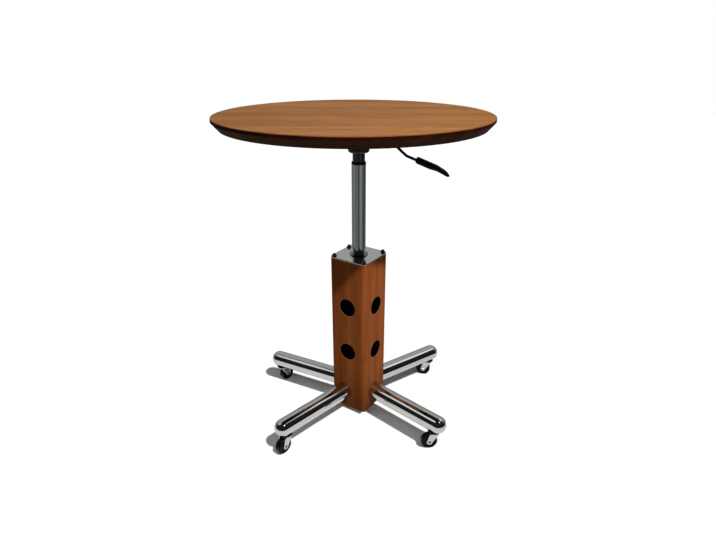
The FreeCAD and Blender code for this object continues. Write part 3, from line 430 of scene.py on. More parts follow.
def ramp(tree, value, stops):
    """A colour read from a row of stops (place, colour)."""
    made = add(tree, "ValToRGB", {0: value})
    row = made.color_ramp
    for place, colour in stops[1:-1]:
        row.elements.new(place).color = (*colour, 1)
    row.elements[0].position, row.elements[0].color = stops[0][0], (*stops[0][1], 1)
    row.elements[-1].position, row.elements[-1].color = stops[-1][0], (*stops[-1][1], 1)
    return made.outputs[0]


# %% [markdown]
# ## Lacquered timber
#
# The top and the post are satin lacquered timber: warm and softly figured on the top, redder on the
# post, darkened towards the floor by painted shade, and stained a deep red-brown round the rim. One
# brown with some noise over it would look like paint. So the figure's tone picks its colour from a row
# of stops, clouds and pores are mixed in after it, and the lacquer's gloss changes a little from place to
# place.

# %% How timber is built
PORE_SHARE, SHADE_TOP, SHADE_FOOT = 0.55, 0.15, 0.03
DULLER, BRIGHTER, LACQUER_IOR = 0.09, 0.03, 1.2
WOOD_RELIEF, WOOD_DEPTH = 0.1, 0.0002


def wood(name, stops, pore_colour, along, waviness, gloss, clouding=0.2, foot_shade=1.0, shine=0.1):
    """Lacquered timber. The figure runs along the given direction, as turning angles. Clouding is how
    far the darkest stop shows through in patches. Near the floor the colour falls to foot_shade: painted
    shade, for the shade that falls round the post's foot between the legs."""
    tree, shader, spot = new_finish(name)
    laid = add(tree, "Mapping", {"Vector": spot, "Rotation": along}).outputs[0]
    figure = use_group(tree, WOOD_FIGURE, {"Vector": laid, "Waviness": waviness})
    colour = ramp(tree, figure["Tone"], stops)
    cloudy = calc(tree, "MULTIPLY", figure["Cloud"], clouding)
    colour = mix_colours(tree, cloudy, colour, (*stops[0][1], 1))
    share = calc(tree, "MULTIPLY", figure["Pores"], PORE_SHARE)
    colour = mix_colours(tree, share, colour, (*pore_colour, 1))
    height = add(tree, "SeparateXYZ", {0: spot}).outputs[2]
    # Painted shade: the colour falls to foot_shade towards the floor, for the shade round the post's foot.
    painted_foot_shade = between(tree, height, SHADE_FOOT, SHADE_TOP, foot_shade, 1.0)
    tree.links.new(stretched(tree, colour, painted_foot_shade), shader.inputs["Base Color"])
    marks = use_group(tree, METAL_MARKS,
                      {"Vector": spot, "Dull": gloss + DULLER, "Bright": gloss - BRIGHTER})
    tree.links.new(marks["Roughness"], shader.inputs["Roughness"])
    relief = {"Height": figure["Relief"], "Strength": WOOD_RELIEF, "Distance": WOOD_DEPTH}
    bump = add(tree, "Bump", relief)
    tree.links.new(bump.outputs[0], shader.inputs["Normal"])
    set_all(shader, {"Specular IOR Level": shine, "IOR": LACQUER_IOR})


# %% The timbers
ACROSS_TOP, UP_POST = (0.0, 0.0, 0.03), (0.0, np.pi / 2, 0.0)
wood("top_wood", [(0.3, (0.2, 0.08, 0.018)), (0.45, (0.315, 0.122, 0.027)),
                  (0.56, (0.375, 0.147, 0.038)), (0.7, (0.46, 0.19, 0.055))],
     (0.15, 0.055, 0.02), ACROSS_TOP, 7.0, 0.42, clouding=0.6, shine=0.16)
# The post's foot_shade of 0.55 is painted shade near the floor.
wood("column_wood", [(0.32, (0.31, 0.08, 0.016)), (0.47, (0.395, 0.108, 0.024)),
                     (0.57, (0.45, 0.128, 0.032)), (0.7, (0.52, 0.156, 0.042))],
     (0.12, 0.028, 0.008), UP_POST, 4.0, 0.4, foot_shade=0.55)
wood("arris_wood", [(0.3, (0.13, 0.055, 0.02)), (0.7, (0.24, 0.11, 0.045))],
     (0.2, 0.09, 0.04), ACROSS_TOP, 7.0, 0.42)
wood("rim_wood", [(0.3, (0.02, 0.003, 0.001)), (0.5, (0.034, 0.005, 0.002)), (0.7, (0.054, 0.009, 0.003))],
     (0.012, 0.004, 0.002), ACROSS_TOP, 5.0, 0.42)
wood("bevel_wood", [(0.3, (0.055, 0.02, 0.009)), (0.5, (0.095, 0.036, 0.016)), (0.7, (0.15, 0.058, 0.026))],
     (0.03, 0.012, 0.006), ACROSS_TOP, 5.0, 0.42)
# Painted shade: the underside is near black for the shade under the top, which the chrome legs show as a
# dark band.
wood("underside_wood", [(0.3, (0.012, 0.007, 0.005)), (0.7, (0.022, 0.014, 0.01))],
     (0.008, 0.005, 0.004), ACROSS_TOP, 5.0, 0.55)
print("timbers:", *FINISHES)

# %% [markdown]
# ## Polished metal
#
# The legs, the post's plate and the castors' forks are chrome, the sleeve's is a little cooler, and
# the collar, the nuts and the axles are darker. One even roughness would do for a sketch, but it looks
# drawn rather than made. Real plating has hazy patches and the finest scratches, so the gloss changes.

# %% The metals
HAIRLINE_TONE = 0.93


def polished_metal(name, colour, bright, dull):
    """Plated metal: a mirror with soft hazy patches and the finest hairlines."""
    tree, shader, spot = new_finish(name)
    marks = use_group(tree, METAL_MARKS, {"Vector": spot, "Dull": dull, "Bright": bright})
    darker = tuple(HAIRLINE_TONE * c for c in colour)
    tone = mix_colours(tree, marks["Hairlines"], (*darker, 1), (*colour, 1))
    tree.links.new(tone, shader.inputs["Base Color"])
    tree.links.new(marks["Roughness"], shader.inputs["Roughness"])
    set_all(shader, {"Metallic": 1.0})


polished_metal("chrome", (0.58, 0.585, 0.565), 0.02, 0.07)
polished_metal("sleeve_chrome", (0.57, 0.61, 0.61), 0.03, 0.08)
polished_metal("dark_chrome", (0.2, 0.21, 0.21), 0.08, 0.2)
polished_metal("zinc_steel", (0.5, 0.51, 0.52), 0.25, 0.42)
print(len(FINISHES), "finishes so far")

# %% [markdown]
# ## Paint, plastic and rubber
#
# The spring's tube, the lever, the caps and the castors' wheels are black, each with its own gloss.
# Plain black shows no shape. A fine stipple breaks up its highlights, and a little dust where it
# looks up tells which way it faces.

# %% The black finishes
DUST_SHARE, DUST_ROUGH, GRAIN_DEPTH = 0.35, 0.18, 0.0001
LOW_SHINE, LEAST_SHINE, NO_SHINE = ({"Specular IOR Level": level} for level in (0.2, 0.08, 0.0))
BLACK, DULL_DUST = (0.003, 0.003, 0.004), (0.02, 0.019, 0.018)


def grained(name, colour, dust_colour, rough, grain_scale, relief, values=None):
    """Paint, plastic or rubber: a dark colour under a little dust, with a fine stipple."""
    tree, shader, spot = new_finish(name)
    grain = use_group(tree, FINE_GRAIN, {"Vector": spot, "Scale": grain_scale})
    share = calc(tree, "MULTIPLY", grain["Dust"], DUST_SHARE)
    tone = mix_colours(tree, share, (*colour, 1), (*dust_colour, 1))
    tree.links.new(tone, shader.inputs["Base Color"])
    roughness = between(tree, grain["Dust"], 0.0, 1.0, rough, rough + DUST_ROUGH)
    tree.links.new(roughness, shader.inputs["Roughness"])
    bump = add(tree, "Bump", {"Height": grain["Grain"], "Strength": relief, "Distance": GRAIN_DEPTH})
    tree.links.new(bump.outputs[0], shader.inputs["Normal"])
    set_all(shader, values or {})


grained("black_steel", (0.012, 0.012, 0.013), (0.08, 0.078, 0.074), 0.3, 700.0, 0.2)
grained("spring_black", (0.01, 0.011, 0.012), (0.05, 0.05, 0.05), 0.16, 500.0, 0.08, {"Coat Weight": 0.5})
grained("lever_steel", (0.004, 0.004, 0.005), (0.03, 0.029, 0.027), 0.34, 600.0, 0.15, LOW_SHINE)
grained("black_plastic", BLACK, DULL_DUST, 0.42, 900.0, 0.45, LOW_SHINE)
grained("cap_plastic", (0.001, 0.001, 0.003), (0.004, 0.004, 0.007), 0.6, 1100.0, 0.4, NO_SHINE)
grained("wheel_plastic", BLACK, DULL_DUST, 0.3, 500.0, 0.12, LEAST_SHINE)
grained("black_rubber", (0.012, 0.012, 0.012), (0.07, 0.066, 0.06), 0.5, 800.0, 0.5)
print(len(FINISHES), "finishes")

# %% [markdown]
# ## Finishes on the solids
#
# Solids that are flat, small or hidden keep their own meshes and take the finish of their slot. The
# parts that show curved surfaces are replaced below.

# %% Give every solid the finish of its slot
for name, solid in NODES.items():
    solid.data.materials.clear()
    solid.data.materials.append(FINISHES[SLOTS[name]])
print("finished", len(NODES), "solids")

# %% [markdown]
# ## The round top
#
# A disc with a short upright band round it, over a bevel that runs in underneath, so that the edge
# looks thin. It could be a cylinder with a bevel, but a turned profile gives the band, the bevel and
# the soft arris on top exactly, and each stretch of the profile can have its own finish.

# %% Turn the top in five finishes
TOP_MIDDLE, TOP_COUNT = (0, 0, 0), 256
TOP_UP, TOP_DOWN, BAND_FOOT = 769.0, 746.0, 762.0
RIM_RADIUS, FOOT_RADIUS, FLAT_RADIUS, UNDERSIDE_RING_RADIUS = 299.9, 286.0, 285.0, 120.0
ARRIS_ROUND, FOOT_ROUND, FOOT_POINTS = 1.5, 0.5, 5
arris = rounded([(0, TOP_UP), (RIM_RADIUS, TOP_UP, ARRIS_ROUND), (RIM_RADIUS, BAND_FOOT)])
arris = arris[(arris[:, 0] > 0) & (arris[:, 1] > BAND_FOOT)]
show_face = np.vstack([[(0, TOP_UP), (200, TOP_UP), (297, TOP_UP)], arris[:1]])
rim = rounded([tuple(arris[-1]), (RIM_RADIUS, BAND_FOOT, FOOT_ROUND), (FOOT_RADIUS, TOP_DOWN)], FOOT_POINTS)
top_stretches = {
    "top_wood": show_face, "arris_wood": arris,
    "rim_wood": rim[:-FOOT_POINTS], "bevel_wood": rim[-FOOT_POINTS - 1:],
    # The underside's near-black finish is painted shade.
    "underside_wood": np.array([rim[-1], (FLAT_RADIUS, TOP_DOWN), (UNDERSIDE_RING_RADIUS, TOP_DOWN), (0, TOP_DOWN)]),
}
piece("round_top", [(turned(line, TOP_MIDDLE, count=TOP_COUNT), finish)
                    for finish, line in top_stretches.items()], "tabletop")

# %% [markdown]
# ## The gas spring's neck and its socket
#
# The spring's black tube comes out of a plastic bush in the sleeve's mouth and goes up into a tapered
# socket. The socket's flange has a soft lower edge. Plain cylinders would do from far off, but their
# edges would look like knives. A turned line with a small radius at each corner costs nothing more.

# %% Turn the tube, the socket and the bush
TUBE_FOOT, TUBE_RADIUS, TIP_RADIUS = 166.0, 14.0, 13.0
SOCKET_FOOT, SOCKET_TOP, HOUSING_FOOT = 686.0, 724.0, 701.0
FLANGE_RADIUS, SOCKET_RADIUS = 24.0, 18.0
spring_tube = rounded([(0, TUBE_FOOT), (TUBE_RADIUS, TUBE_FOOT, 1), (TUBE_RADIUS, SOCKET_FOOT),
                       (TIP_RADIUS, SOCKET_TOP, 0.5), (0, SOCKET_TOP)])
piece("spring_tube", [(turned(spring_tube), "spring_black")], "pressure_tube")
socket_ring = rounded([(TUBE_RADIUS, SOCKET_FOOT), (FLANGE_RADIUS, SOCKET_FOOT, 5),
                       (FLANGE_RADIUS, HOUSING_FOOT, 0.6), (SOCKET_RADIUS, HOUSING_FOOT),
                       (SOCKET_RADIUS, SOCKET_TOP), (TIP_RADIUS, SOCKET_TOP)])
piece("spring_socket", [(turned(socket_ring, ring=True), "black_steel")], "tube_socket")
SLEEVE_FOOT, SLEEVE_TOP, SLEEVE_RADIUS, SLEEVE_BORE = 130.0, 660.5, 16.5, 15.0
BUSH_FOOT, BUSH_TOP, BUSH_BORE, BUSH_FACE, BUSH_LIP = 600.5, 666.0, 14.05, 14.9, 1.6
bush_ring = rounded([(BUSH_BORE, BUSH_FOOT), (SLEEVE_BORE, BUSH_FOOT), (SLEEVE_BORE, SLEEVE_TOP),
                     (SLEEVE_RADIUS, SLEEVE_TOP), (SLEEVE_RADIUS, BUSH_TOP - BUSH_LIP, 0.6),
                     (BUSH_FACE, BUSH_TOP, 0.5), (BUSH_BORE, BUSH_TOP, 0.3)], 5)
piece("sleeve_bush", [(turned(bush_ring, ring=True), "black_plastic")], "guide_bush")

# %% [markdown]
# ## The chrome sleeve and its collar
#
# A plain thin tube, and a low ring round it on the post's plate. The tube could be a cylinder with a
# Solidify modifier, but a closed turned line gives both its walls and its rounded rims at once.

# %% Turn the sleeve and the collar
COLLAR_RADIUS, COLLAR_RISE, COLLAR_SLOPE, COLLAR_ROUND = 22.0, 3.0, 1.0, 0.4
RIM_ROUND = 0.3
sleeve_ring = rounded([(radius, height, RIM_ROUND) for radius, height in (
    (SLEEVE_BORE, SLEEVE_FOOT), (SLEEVE_RADIUS, SLEEVE_FOOT),
    (SLEEVE_RADIUS, SLEEVE_TOP), (SLEEVE_BORE, SLEEVE_TOP))], 4)
piece("chrome_sleeve", [(turned(sleeve_ring, ring=True), "sleeve_chrome")], "outer_sleeve")
collar_top = PLATE_TOP + COLLAR_RISE
collar_ring = rounded([(SLEEVE_RADIUS, PLATE_TOP), (COLLAR_RADIUS, PLATE_TOP),
                       (COLLAR_RADIUS, collar_top - COLLAR_SLOPE, COLLAR_ROUND),
                       (COLLAR_RADIUS - COLLAR_SLOPE, collar_top, COLLAR_ROUND),
                       (SLEEVE_RADIUS, collar_top, 0.2)], 5)
piece("collar", [(turned(collar_ring, ring=True), "dark_chrome")], "sleeve_collar")

# %% [markdown]
# ## The post's plate and its nuts
#
# A polished square plate closes the post's end. Four cap nuts hold it: a washer, a hexagon and a
# dome. One of them stands off its corner, clear of the sleeve's fixing. A bevelled cube could stand in
# for the plate, but pulling its outline in at the edges keeps the corners as round as the post's.

# %% Stack the plate, and build the nuts from three forms each
PLATE_CORNER, PLATE_EDGE = 11.0, 0.5
NUT_PLACES = ((42.0, 42.0), (-45.0, 24.0), (-42.0, -42.0), (42.0, -42.0))
WASHER_RADIUS, WASHER_BORE, HEX_HALF, DOME_RADIUS = 6.2, 3.0, 4.67, 3.6
WASHER_TOP, HEX_TOP, SUNK, NUT_ROUND, NUT_COUNT = PLATE_TOP + 1.2, PLATE_TOP + 3.8, 0.2, 0.5, 40
plate = stacked(regular(4, POST_HALF, PLATE_CORNER, 9), soft_levels(POST_TOP, PLATE_TOP, PLATE_EDGE),
                turn=POST_TURN)
piece("post_plate", [(plate, "chrome")], "column_top_plate")


def cap_nut(u, v):
    """A washer ring, a hexagon with rounded corners, and a dome: radius r * cos a at height
    r * sin a. Each form starts a little inside the one below it."""
    x, y, _ = beside_pole(u, v, POST_TURN)
    washer = rounded([(WASHER_BORE, PLATE_TOP), (WASHER_RADIUS, PLATE_TOP),
                      (WASHER_RADIUS, WASHER_TOP, 0.4), (WASHER_BORE, WASHER_TOP)])
    hexagon = stacked(regular(6, HEX_HALF, NUT_ROUND),
                      soft_levels(WASHER_TOP - SUNK, HEX_TOP, NUT_ROUND), (x, y), POST_TURN)
    a = np.linspace(0, np.pi / 2, 12)
    dome = np.column_stack([DOME_RADIUS * np.cos(a), HEX_TOP + DOME_RADIUS * np.sin(a)])
    dome = np.vstack([(DOME_RADIUS, HEX_TOP - 1.0), dome])
    return [turned(washer, (x, y, 0), count=NUT_COUNT, ring=True), hexagon,
            turned(dome, (x, y, 0), count=NUT_COUNT)]


nuts = [form for u, v in NUT_PLACES for form in cap_nut(u, v)]
piece("cap_nuts", [(form, "dark_chrome") for form in nuts], "acorn_nuts")

# %% [markdown]
# ## The square post
#
# Square timber with softly rounded corners. Each face has two round bores and one oval hole where a
# leg goes in at a slant. Cutting holes with a Boolean leaves long thin faces, so each hole gets a
# patch of its own: an outer frame of points on a rectangle, drawn in to an ellipse, rolled over its
# edge and carried down its wall. Patches that meet share the points between them. One leg slants so
# much that its hole runs into the post's rounded corner, so that patch takes half of the corner in.

# %% One patch with a hole
POST_CORNER, BORE_DEPTH, HOLE_EDGE = 11.0, 8.0, 0.6
SIDE_POINTS, ARC_POINTS, PATCH_ROWS, HOLE_ROWS, HOLE_PASSES = 16, 9, 9, 5, 3
FLAT = POST_HALF - POST_CORNER


def face_height(u):
    """How far the post's outline stands from its axis, square to a face: half the side on the flat,
    and flat + sqrt(r^2 - (|u| - flat)^2) on the corner's arc."""
    past = np.clip(np.abs(u) - FLAT, 0, POST_CORNER)
    return FLAT + np.sqrt(POST_CORNER**2 - past**2)


def frame_points(low, high, round_left):
    """The points of a rectangle on a face, from one height to another. It is as wide as the flat, in
    equal steps, and with round_left it goes on to the middle of the corner's arc."""
    s = np.arange(SIDE_POINTS) / SIDE_POINTS
    across = np.append(-FLAT + 2 * FLAT * s, FLAT)
    if round_left:
        arc = np.radians(np.linspace(45, 0, ARC_POINTS // 2 + 1)[:-1])
        across = np.concatenate([-FLAT - POST_CORNER * np.sin(arc), across])
    count = len(across) - 1
    left, right = np.full(SIDE_POINTS, across[0]), np.full(SIDE_POINTS, FLAT)
    u = np.concatenate([across[:-1], right, across[:0:-1], left])
    rise = (high - low) * s
    z = np.concatenate([np.full(count, low), low + rise, np.full(count, high), high - rise])
    return u, z


def hole_patch(face_turn, low, high, height, radius, slant, depth, round_left=False):
    """The face's frame drawn in to a hole whose axis leans by a slant. At depth d the hole's middle
    is u = (half side - d) * tan slant, its half axes are radius / cos slant and radius, and each
    point keeps the angle at which its partner on the frame is seen. The depth is found in a few
    passes, since the hole lies further in where it runs into the rounded corner."""
    u, z = frame_points(low, high, round_left)
    lean = np.tan(np.radians(slant))
    wide = radius / np.cos(np.radians(slant))
    angle = np.arctan2((z - height) / radius, (u - POST_HALF * lean) / wide)
    a = np.linspace(0, np.pi / 2, HOLE_ROWS)
    out = np.append(HOLE_EDGE * (1 - np.sin(a)), 0.0)[:, None]
    down = np.append(HOLE_EDGE * (1 - np.cos(a)), depth)[:, None]
    hole_z = height + (radius + out) * np.sin(angle)
    deep = down
    for _ in range(HOLE_PASSES):
        hole_u = (POST_HALF - deep) * lean + (wide + out) * np.cos(angle)
        deep = down + POST_HALF - face_height(hole_u)
    share = np.linspace(0, 1, PATCH_ROWS, endpoint=False)[:, None]
    face_u, face_z = u * (1 - share) + hole_u[0] * share, z * (1 - share) + hole_z[0] * share
    all_u = np.vstack([face_u, hole_u, np.full_like(u, (POST_HALF - depth) * lean)])
    all_z = np.vstack([face_z, hole_z, np.full_like(z, height)])
    reach = np.vstack([face_height(face_u), POST_HALF - deep, np.full_like(u, POST_HALF - depth)])
    points = beside_pole(reach[..., None], all_u[..., None], face_turn)
    points[..., 2] = all_z
    return grid(points)


# %% The post's ends, corners and plain stretches
POST_EDGE, EDGE_ROWS = 0.6, 4
LEVELS = (POST_FOOT + POST_EDGE, 121.0, 254.85, 386.0, POST_TOP - POST_EDGE)


def post_ring(inset):
    """The post's outline, pulled in: the points of each face's flat, then a quarter round to the
    next face."""
    u = np.linspace(-FLAT, FLAT, SIDE_POINTS + 1)
    a = np.linspace(0, np.pi / 2, ARC_POINTS)[1:-1]
    face = np.column_stack([np.full_like(u, POST_HALF - inset), u])
    arc = FLAT + (POST_CORNER - inset) * np.column_stack([np.cos(a), np.sin(a)])
    side = np.vstack([face, arc])
    turns = [np.array([[c, s], [-s, c]]) for c, s in ((1, 0), (0, 1), (-1, 0), (0, -1))]
    return np.vstack([side @ turn for turn in turns])


def post_rows(rings):
    """Rows of outline points (ring, z), turned with the post about the pole."""
    x_axis, y_axis = aimed(POST_TURN)[:2], aimed(POST_TURN + 90)[:2]
    axes = np.array([x_axis[:2], y_axis[:2]])
    rows = [np.column_stack([ring @ axes + (POLE, 0), np.full(len(ring), z)]) for ring, z in rings]
    return grid(np.stack(rows))


def post_end(end, inwards, closed_by):
    """An end of the post: its edge rolled over in a quarter circle, then the rings that close it."""
    a = np.linspace(0, np.pi / 2, EDGE_ROWS)
    rolled = [(post_ring(POST_EDGE * (1 - np.cos(t))), end + inwards * POST_EDGE * (1 - np.sin(t)))
              for t in a]
    return post_rows(rolled + closed_by)


def corner_strip(quarter, low, high, arc_points=ARC_POINTS, rows=SIDE_POINTS):
    """The quarter round between two faces, from one height to another, or its first points only."""
    a = np.radians(POST_TURN + quarter) + np.linspace(0, np.pi / 2, ARC_POINTS)[:arc_points]
    middle = beside_pole(FLAT, FLAT, POST_TURN + quarter)
    points = np.zeros((rows + 1, arc_points, 3))
    points[..., 0] = middle[0] + POST_CORNER * np.cos(a)
    points[..., 1] = middle[1] + POST_CORNER * np.sin(a)
    points[..., 2] = np.linspace(low, high, rows + 1)[:, None]
    return grid(points, around=False)


def plain_strip(quarter):
    """The stretch of a face above its bores."""
    u = np.linspace(-FLAT, FLAT, SIDE_POINTS + 1)
    low = beside_pole(POST_HALF, u[:, None], POST_TURN + quarter)
    rows = np.stack([low + (0, 0, LEVELS[3]), low + (0, 0, LEVELS[4])])
    return grid(rows, around=False)


# %% Put the post together
TOP_SHARE, RECESS_HALF, RECESS_DEPTH = 0.35, 42.0, 4.0
LEG_PLAY, LEG_HOLE_DEPTH = 0.3, 12.0
outer = post_ring(POST_EDGE)
recess = outer * RECESS_HALF / np.abs(outer).max(1, keepdims=True)
recess_top = POST_FOOT + RECESS_DEPTH
post_forms = [
    post_end(POST_TOP, -1, [(outer * TOP_SHARE, POST_TOP), (outer * 0, POST_TOP)]),
    post_end(POST_FOOT, 1, [(recess, POST_FOOT), (recess, recess_top), (recess * 0, recess_top)]),
]
for face, quarter in FACE_TURNS.items():
    turn = POST_TURN + quarter
    slant = (LEG_ANGLES[face] - turn + 180) % 360 - 180
    takes_corner, gives_corner = face == "back_right", face == "front_right"
    post_forms += [
        hole_patch(turn, LEVELS[0], LEVELS[1], LEG_HEIGHT, LEG_RADIUS + LEG_PLAY, slant,
                   LEG_HOLE_DEPTH, takes_corner),
        hole_patch(turn, LEVELS[1], LEVELS[2], CAP_HEIGHTS["lower"], CAP_RADIUS, 0.0, BORE_DEPTH),
        hole_patch(turn, LEVELS[2], LEVELS[3], CAP_HEIGHTS["upper"], CAP_RADIUS, 0.0, BORE_DEPTH),
        corner_strip(quarter, LEVELS[0], LEVELS[1], ARC_POINTS // 2 + 1 if gives_corner else ARC_POINTS),
        corner_strip(quarter, LEVELS[1], LEVELS[2]), corner_strip(quarter, LEVELS[2], LEVELS[3]),
        corner_strip(quarter, LEVELS[3], LEVELS[4], rows=1), plain_strip(quarter),
    ]
piece("square_post", [(form, "column_wood") for form in post_forms], "column")

# %% [markdown]
# ## The caps
#
# Black discs, set back a little from the wood, with a low lip round the edge that catches the light.
# A dark patch in the wood's colour would do from far off, but the lip and the shadow round it only
# come with real depth. All eight are the same, so one line is turned and placed eight times.

# %% Turn the eight caps
CAP_SEAT, CAP_COUNT = POST_HALF - BORE_DEPTH, 72
CAP_FACE, CAP_LIP, CAP_SIDE = 6.5, 7.0, 6.4
LIP_FOOT, LIP_INNER, LIP_OUTER = 20.6, 21.0, 22.0
cap_profile = rounded([(0, CAP_FACE), (LIP_FOOT, CAP_FACE, 0.4), (LIP_INNER, CAP_LIP, 0.3),
                       (LIP_OUTER, CAP_LIP, 0.4), (CAP_RADIUS, CAP_SIDE, 0.3), (CAP_RADIUS, 0), (0, 0)], 5)
for face, quarter in FACE_TURNS.items():
    for level, height in CAP_HEIGHTS.items():
        foot = beside_pole(CAP_SEAT, 0, POST_TURN + quarter) + (0, 0, height)
        disc = turned(cap_profile, foot, aimed(POST_TURN + quarter), CAP_COUNT)
        piece(f"cap_{face}_{level}", [(disc, "cap_plastic")], f"bore_cap_{face}_{level}")

# %% [markdown]
# ## The legs
#
# Chrome tubes with ball ends. The inner end is inside the post. A cylinder and a ball set together
# would show their seam in polished metal, so each leg is one turned line, straight and then a
# quarter circle. The four stand at slightly uneven angles, as they do on the real table.

# %% Turn the four legs
LEG_START, LEG_MIDWAY, BALL_ROWS, LEG_COUNT = 38.0, 146.0, 25, 112
a = np.linspace(0, np.pi / 2, BALL_ROWS)
leg_profile = np.vstack([
    [(0, LEG_START), (LEG_RADIUS, LEG_START), (LEG_RADIUS, LEG_MIDWAY)],
    np.column_stack([LEG_RADIUS * np.cos(a), LEG_REACH + LEG_RADIUS * np.sin(a)]),
])
for name, angle in LEG_ANGLES.items():
    tube = turned(leg_profile, (POLE, 0, LEG_HEIGHT), aimed(angle), LEG_COUNT)
    piece(f"tube_{name}", [(tube, "chrome")], f"leg_{name}")

# %% [markdown]
# ## The castors
#
# A black cup under the leg, a plated fork pressed from one strip, a black wheel with a rounded
# tread, and a riveted axle. The fork is a strip of surface: one parameter runs down one cheek, over
# the crown and down the other cheek, the other runs across the strip, whose width follows the
# cheek's tapered outline. Solidify gives it its wall. Three flat plates would be quicker to make,
# but they meet in sharp corners, where pressed steel bends.

# %% Shapes of one castor, in its own frame
# Each profile is a row of corners: radius, height, and how far the corner is rounded.
WHEEL_RADIUS, TREAD_HALF, TREAD_ROUND, AXLE_HEIGHT, TRAIL = 20.0, 8.0, 3.0, 20.0, 12.0
CHEEK_MIDDLE, FORK_WALL, FORK_TOP, FORK_BEND, CROWN_TOP = 9.75, 2.0, 44.5, 3.0, 45.5
cup_profile = rounded([(0, 40.7), (8, 40.7, 0.6), (8, 42.2, 0.4), (5, 42.2), (5, 45.8), (14.5, 45.8, 0.5),
                       (15.5, 46.8, 0.6), (15.5, 48.8, 0.5), (5, 48.8), (5, 80.8), (0, 80.8)], 5)
wheel_side = [(WHEEL_RADIUS, TREAD_HALF, TREAD_ROUND), (14.2, TREAD_HALF, 0.5), (14, 6, 0.5),
              (7, 6, 0.3), (7, 8.45, 0.6), (0, 8.45, 0)]
wheel_profile = rounded([(radius, -height, bend) for radius, height, bend in wheel_side[::-1]]
                        + wheel_side, 7)
axle_profile = rounded([(0, -12.15), (3, -12.15, 0.6), (4.2, -10.75), (3, -10.75), (3, 10.75),
                        (4.2, 10.75), (3, 12.15, 0.6), (0, 12.15)], 5)
crown_profile = rounded([(5.05, 42.5), (13, 42.5, 0.7), (13, CROWN_TOP, 0.9), (5.05, CROWN_TOP)], 5)


FORK_END, NEAR_LEAN, FAR_LEAN = 6.9, 16.5, 7.0
END_ROWS, CHEEK_ROWS, BEND_ROWS, STRIP_POINTS = 9, 6, 7, 9


def fork_strip():
    """The fork's middle surface in (x, y, z). Down a cheek the height runs from the crown to the
    axle and then round the end: z = 20 - 6.9 * sin a, x = 12 +- 6.9 * cos a. Above the axle the
    edges are straight and lean back, at the crown's height by 16.5 on the near side and 7 on the
    far one. The strip's line across the castor is an upside-down U with rounded corners."""
    side = np.array([(CHEEK_MIDDLE, AXLE_HEIGHT, 0), (CHEEK_MIDDLE, FORK_TOP, FORK_BEND), (0, FORK_TOP, 0)])
    line = rounded(side, BEND_ROWS)
    heights = np.linspace(AXLE_HEIGHT, FORK_TOP - FORK_BEND, CHEEK_ROWS + 2)[1:-1]
    cheek = np.column_stack([np.full(CHEEK_ROWS, CHEEK_MIDDLE), heights])
    line = np.vstack([cheek, line[BEND_ROWS:2 * BEND_ROWS], line[-1:]])
    a = np.linspace(np.pi / 2, 0, END_ROWS)
    end_z, end_x = AXLE_HEIGHT - FORK_END * np.sin(a), FORK_END * np.cos(a)
    share = (line[:, 1] - AXLE_HEIGHT) / (CROWN_TOP - AXLE_HEIGHT)
    low_x = np.concatenate([TRAIL - end_x, TRAIL - FORK_END - NEAR_LEAN * share])
    high_x = np.concatenate([TRAIL + end_x, TRAIL + FORK_END - FAR_LEAN * share])
    y = np.concatenate([np.full(END_ROWS, CHEEK_MIDDLE), line[:, 0]])
    z = np.concatenate([end_z, line[:, 1]])
    across = np.linspace(0, 1, STRIP_POINTS)[None, :]
    x = low_x[:, None] * (1 - across) + high_x[:, None] * across
    half = np.stack(np.broadcast_arrays(x, y[:, None], z[:, None]), -1)
    return np.concatenate([half, half[-2::-1] * (1, -1, 1)])


# %% Put a castor under each leg
def in_castor_frame(points, middle, turn):
    """Points (x, y, z) of a castor's frame, put in the room: middle + x * aimed(turn)
    + y * aimed(turn + 90), with z kept."""
    placed = middle + points[..., :1] * aimed(turn) + points[..., 1:2] * aimed(turn + 90)
    placed[..., 2] = points[..., 2]
    return placed


CUP_COUNT, AXLE_COUNT, WHEEL_COUNT = 64, 40, 96
for name in LEG_NAMES:
    turn = TRAIL_ANGLES[name]
    middle = beside_pole(CASTOR_REACH, 0, LEG_ANGLES[name])
    hub = middle + TRAIL * aimed(turn) + (0, 0, AXLE_HEIGHT)
    piece(f"cup_{name}", [(turned(cup_profile, middle, count=CUP_COUNT), "black_plastic")],
          f"castor_stem_{name}")
    sheet = grid(in_castor_frame(fork_strip(), middle, turn), around=False)
    strip = piece(f"fork_{name}", [(sheet, "chrome")], f"castor_fork_{name}")
    wall = strip.modifiers.new("sheet", "SOLIDIFY")
    wall.thickness, wall.offset = FORK_WALL * METRES, 0.0
    strip.modifiers.move(1, 0)
    piece(f"crown_{name}", [(turned(crown_profile, middle, count=CUP_COUNT, ring=True), "chrome")],
          body=f"castor_fork_{name}")
    piece(f"axle_{name}", [(turned(axle_profile, hub, aimed(turn + 90), AXLE_COUNT), "dark_chrome")],
          f"castor_axle_{name}")
    piece(f"wheel_{name}", [(turned(wheel_profile, hub, aimed(turn + 90), WHEEL_COUNT), "wheel_plastic")],
          f"castor_wheel_{name}")

# %% [markdown]
# ## The release lever
#
# A bent steel rod with a flat black paddle pushed over its end. The paddle is a loft: at each
# station along it a rounded rectangle, as high and as wide as the paddle is there. A bevelled box
# could stand in for it, but the real one dips under the fingers and thins out to its tip.

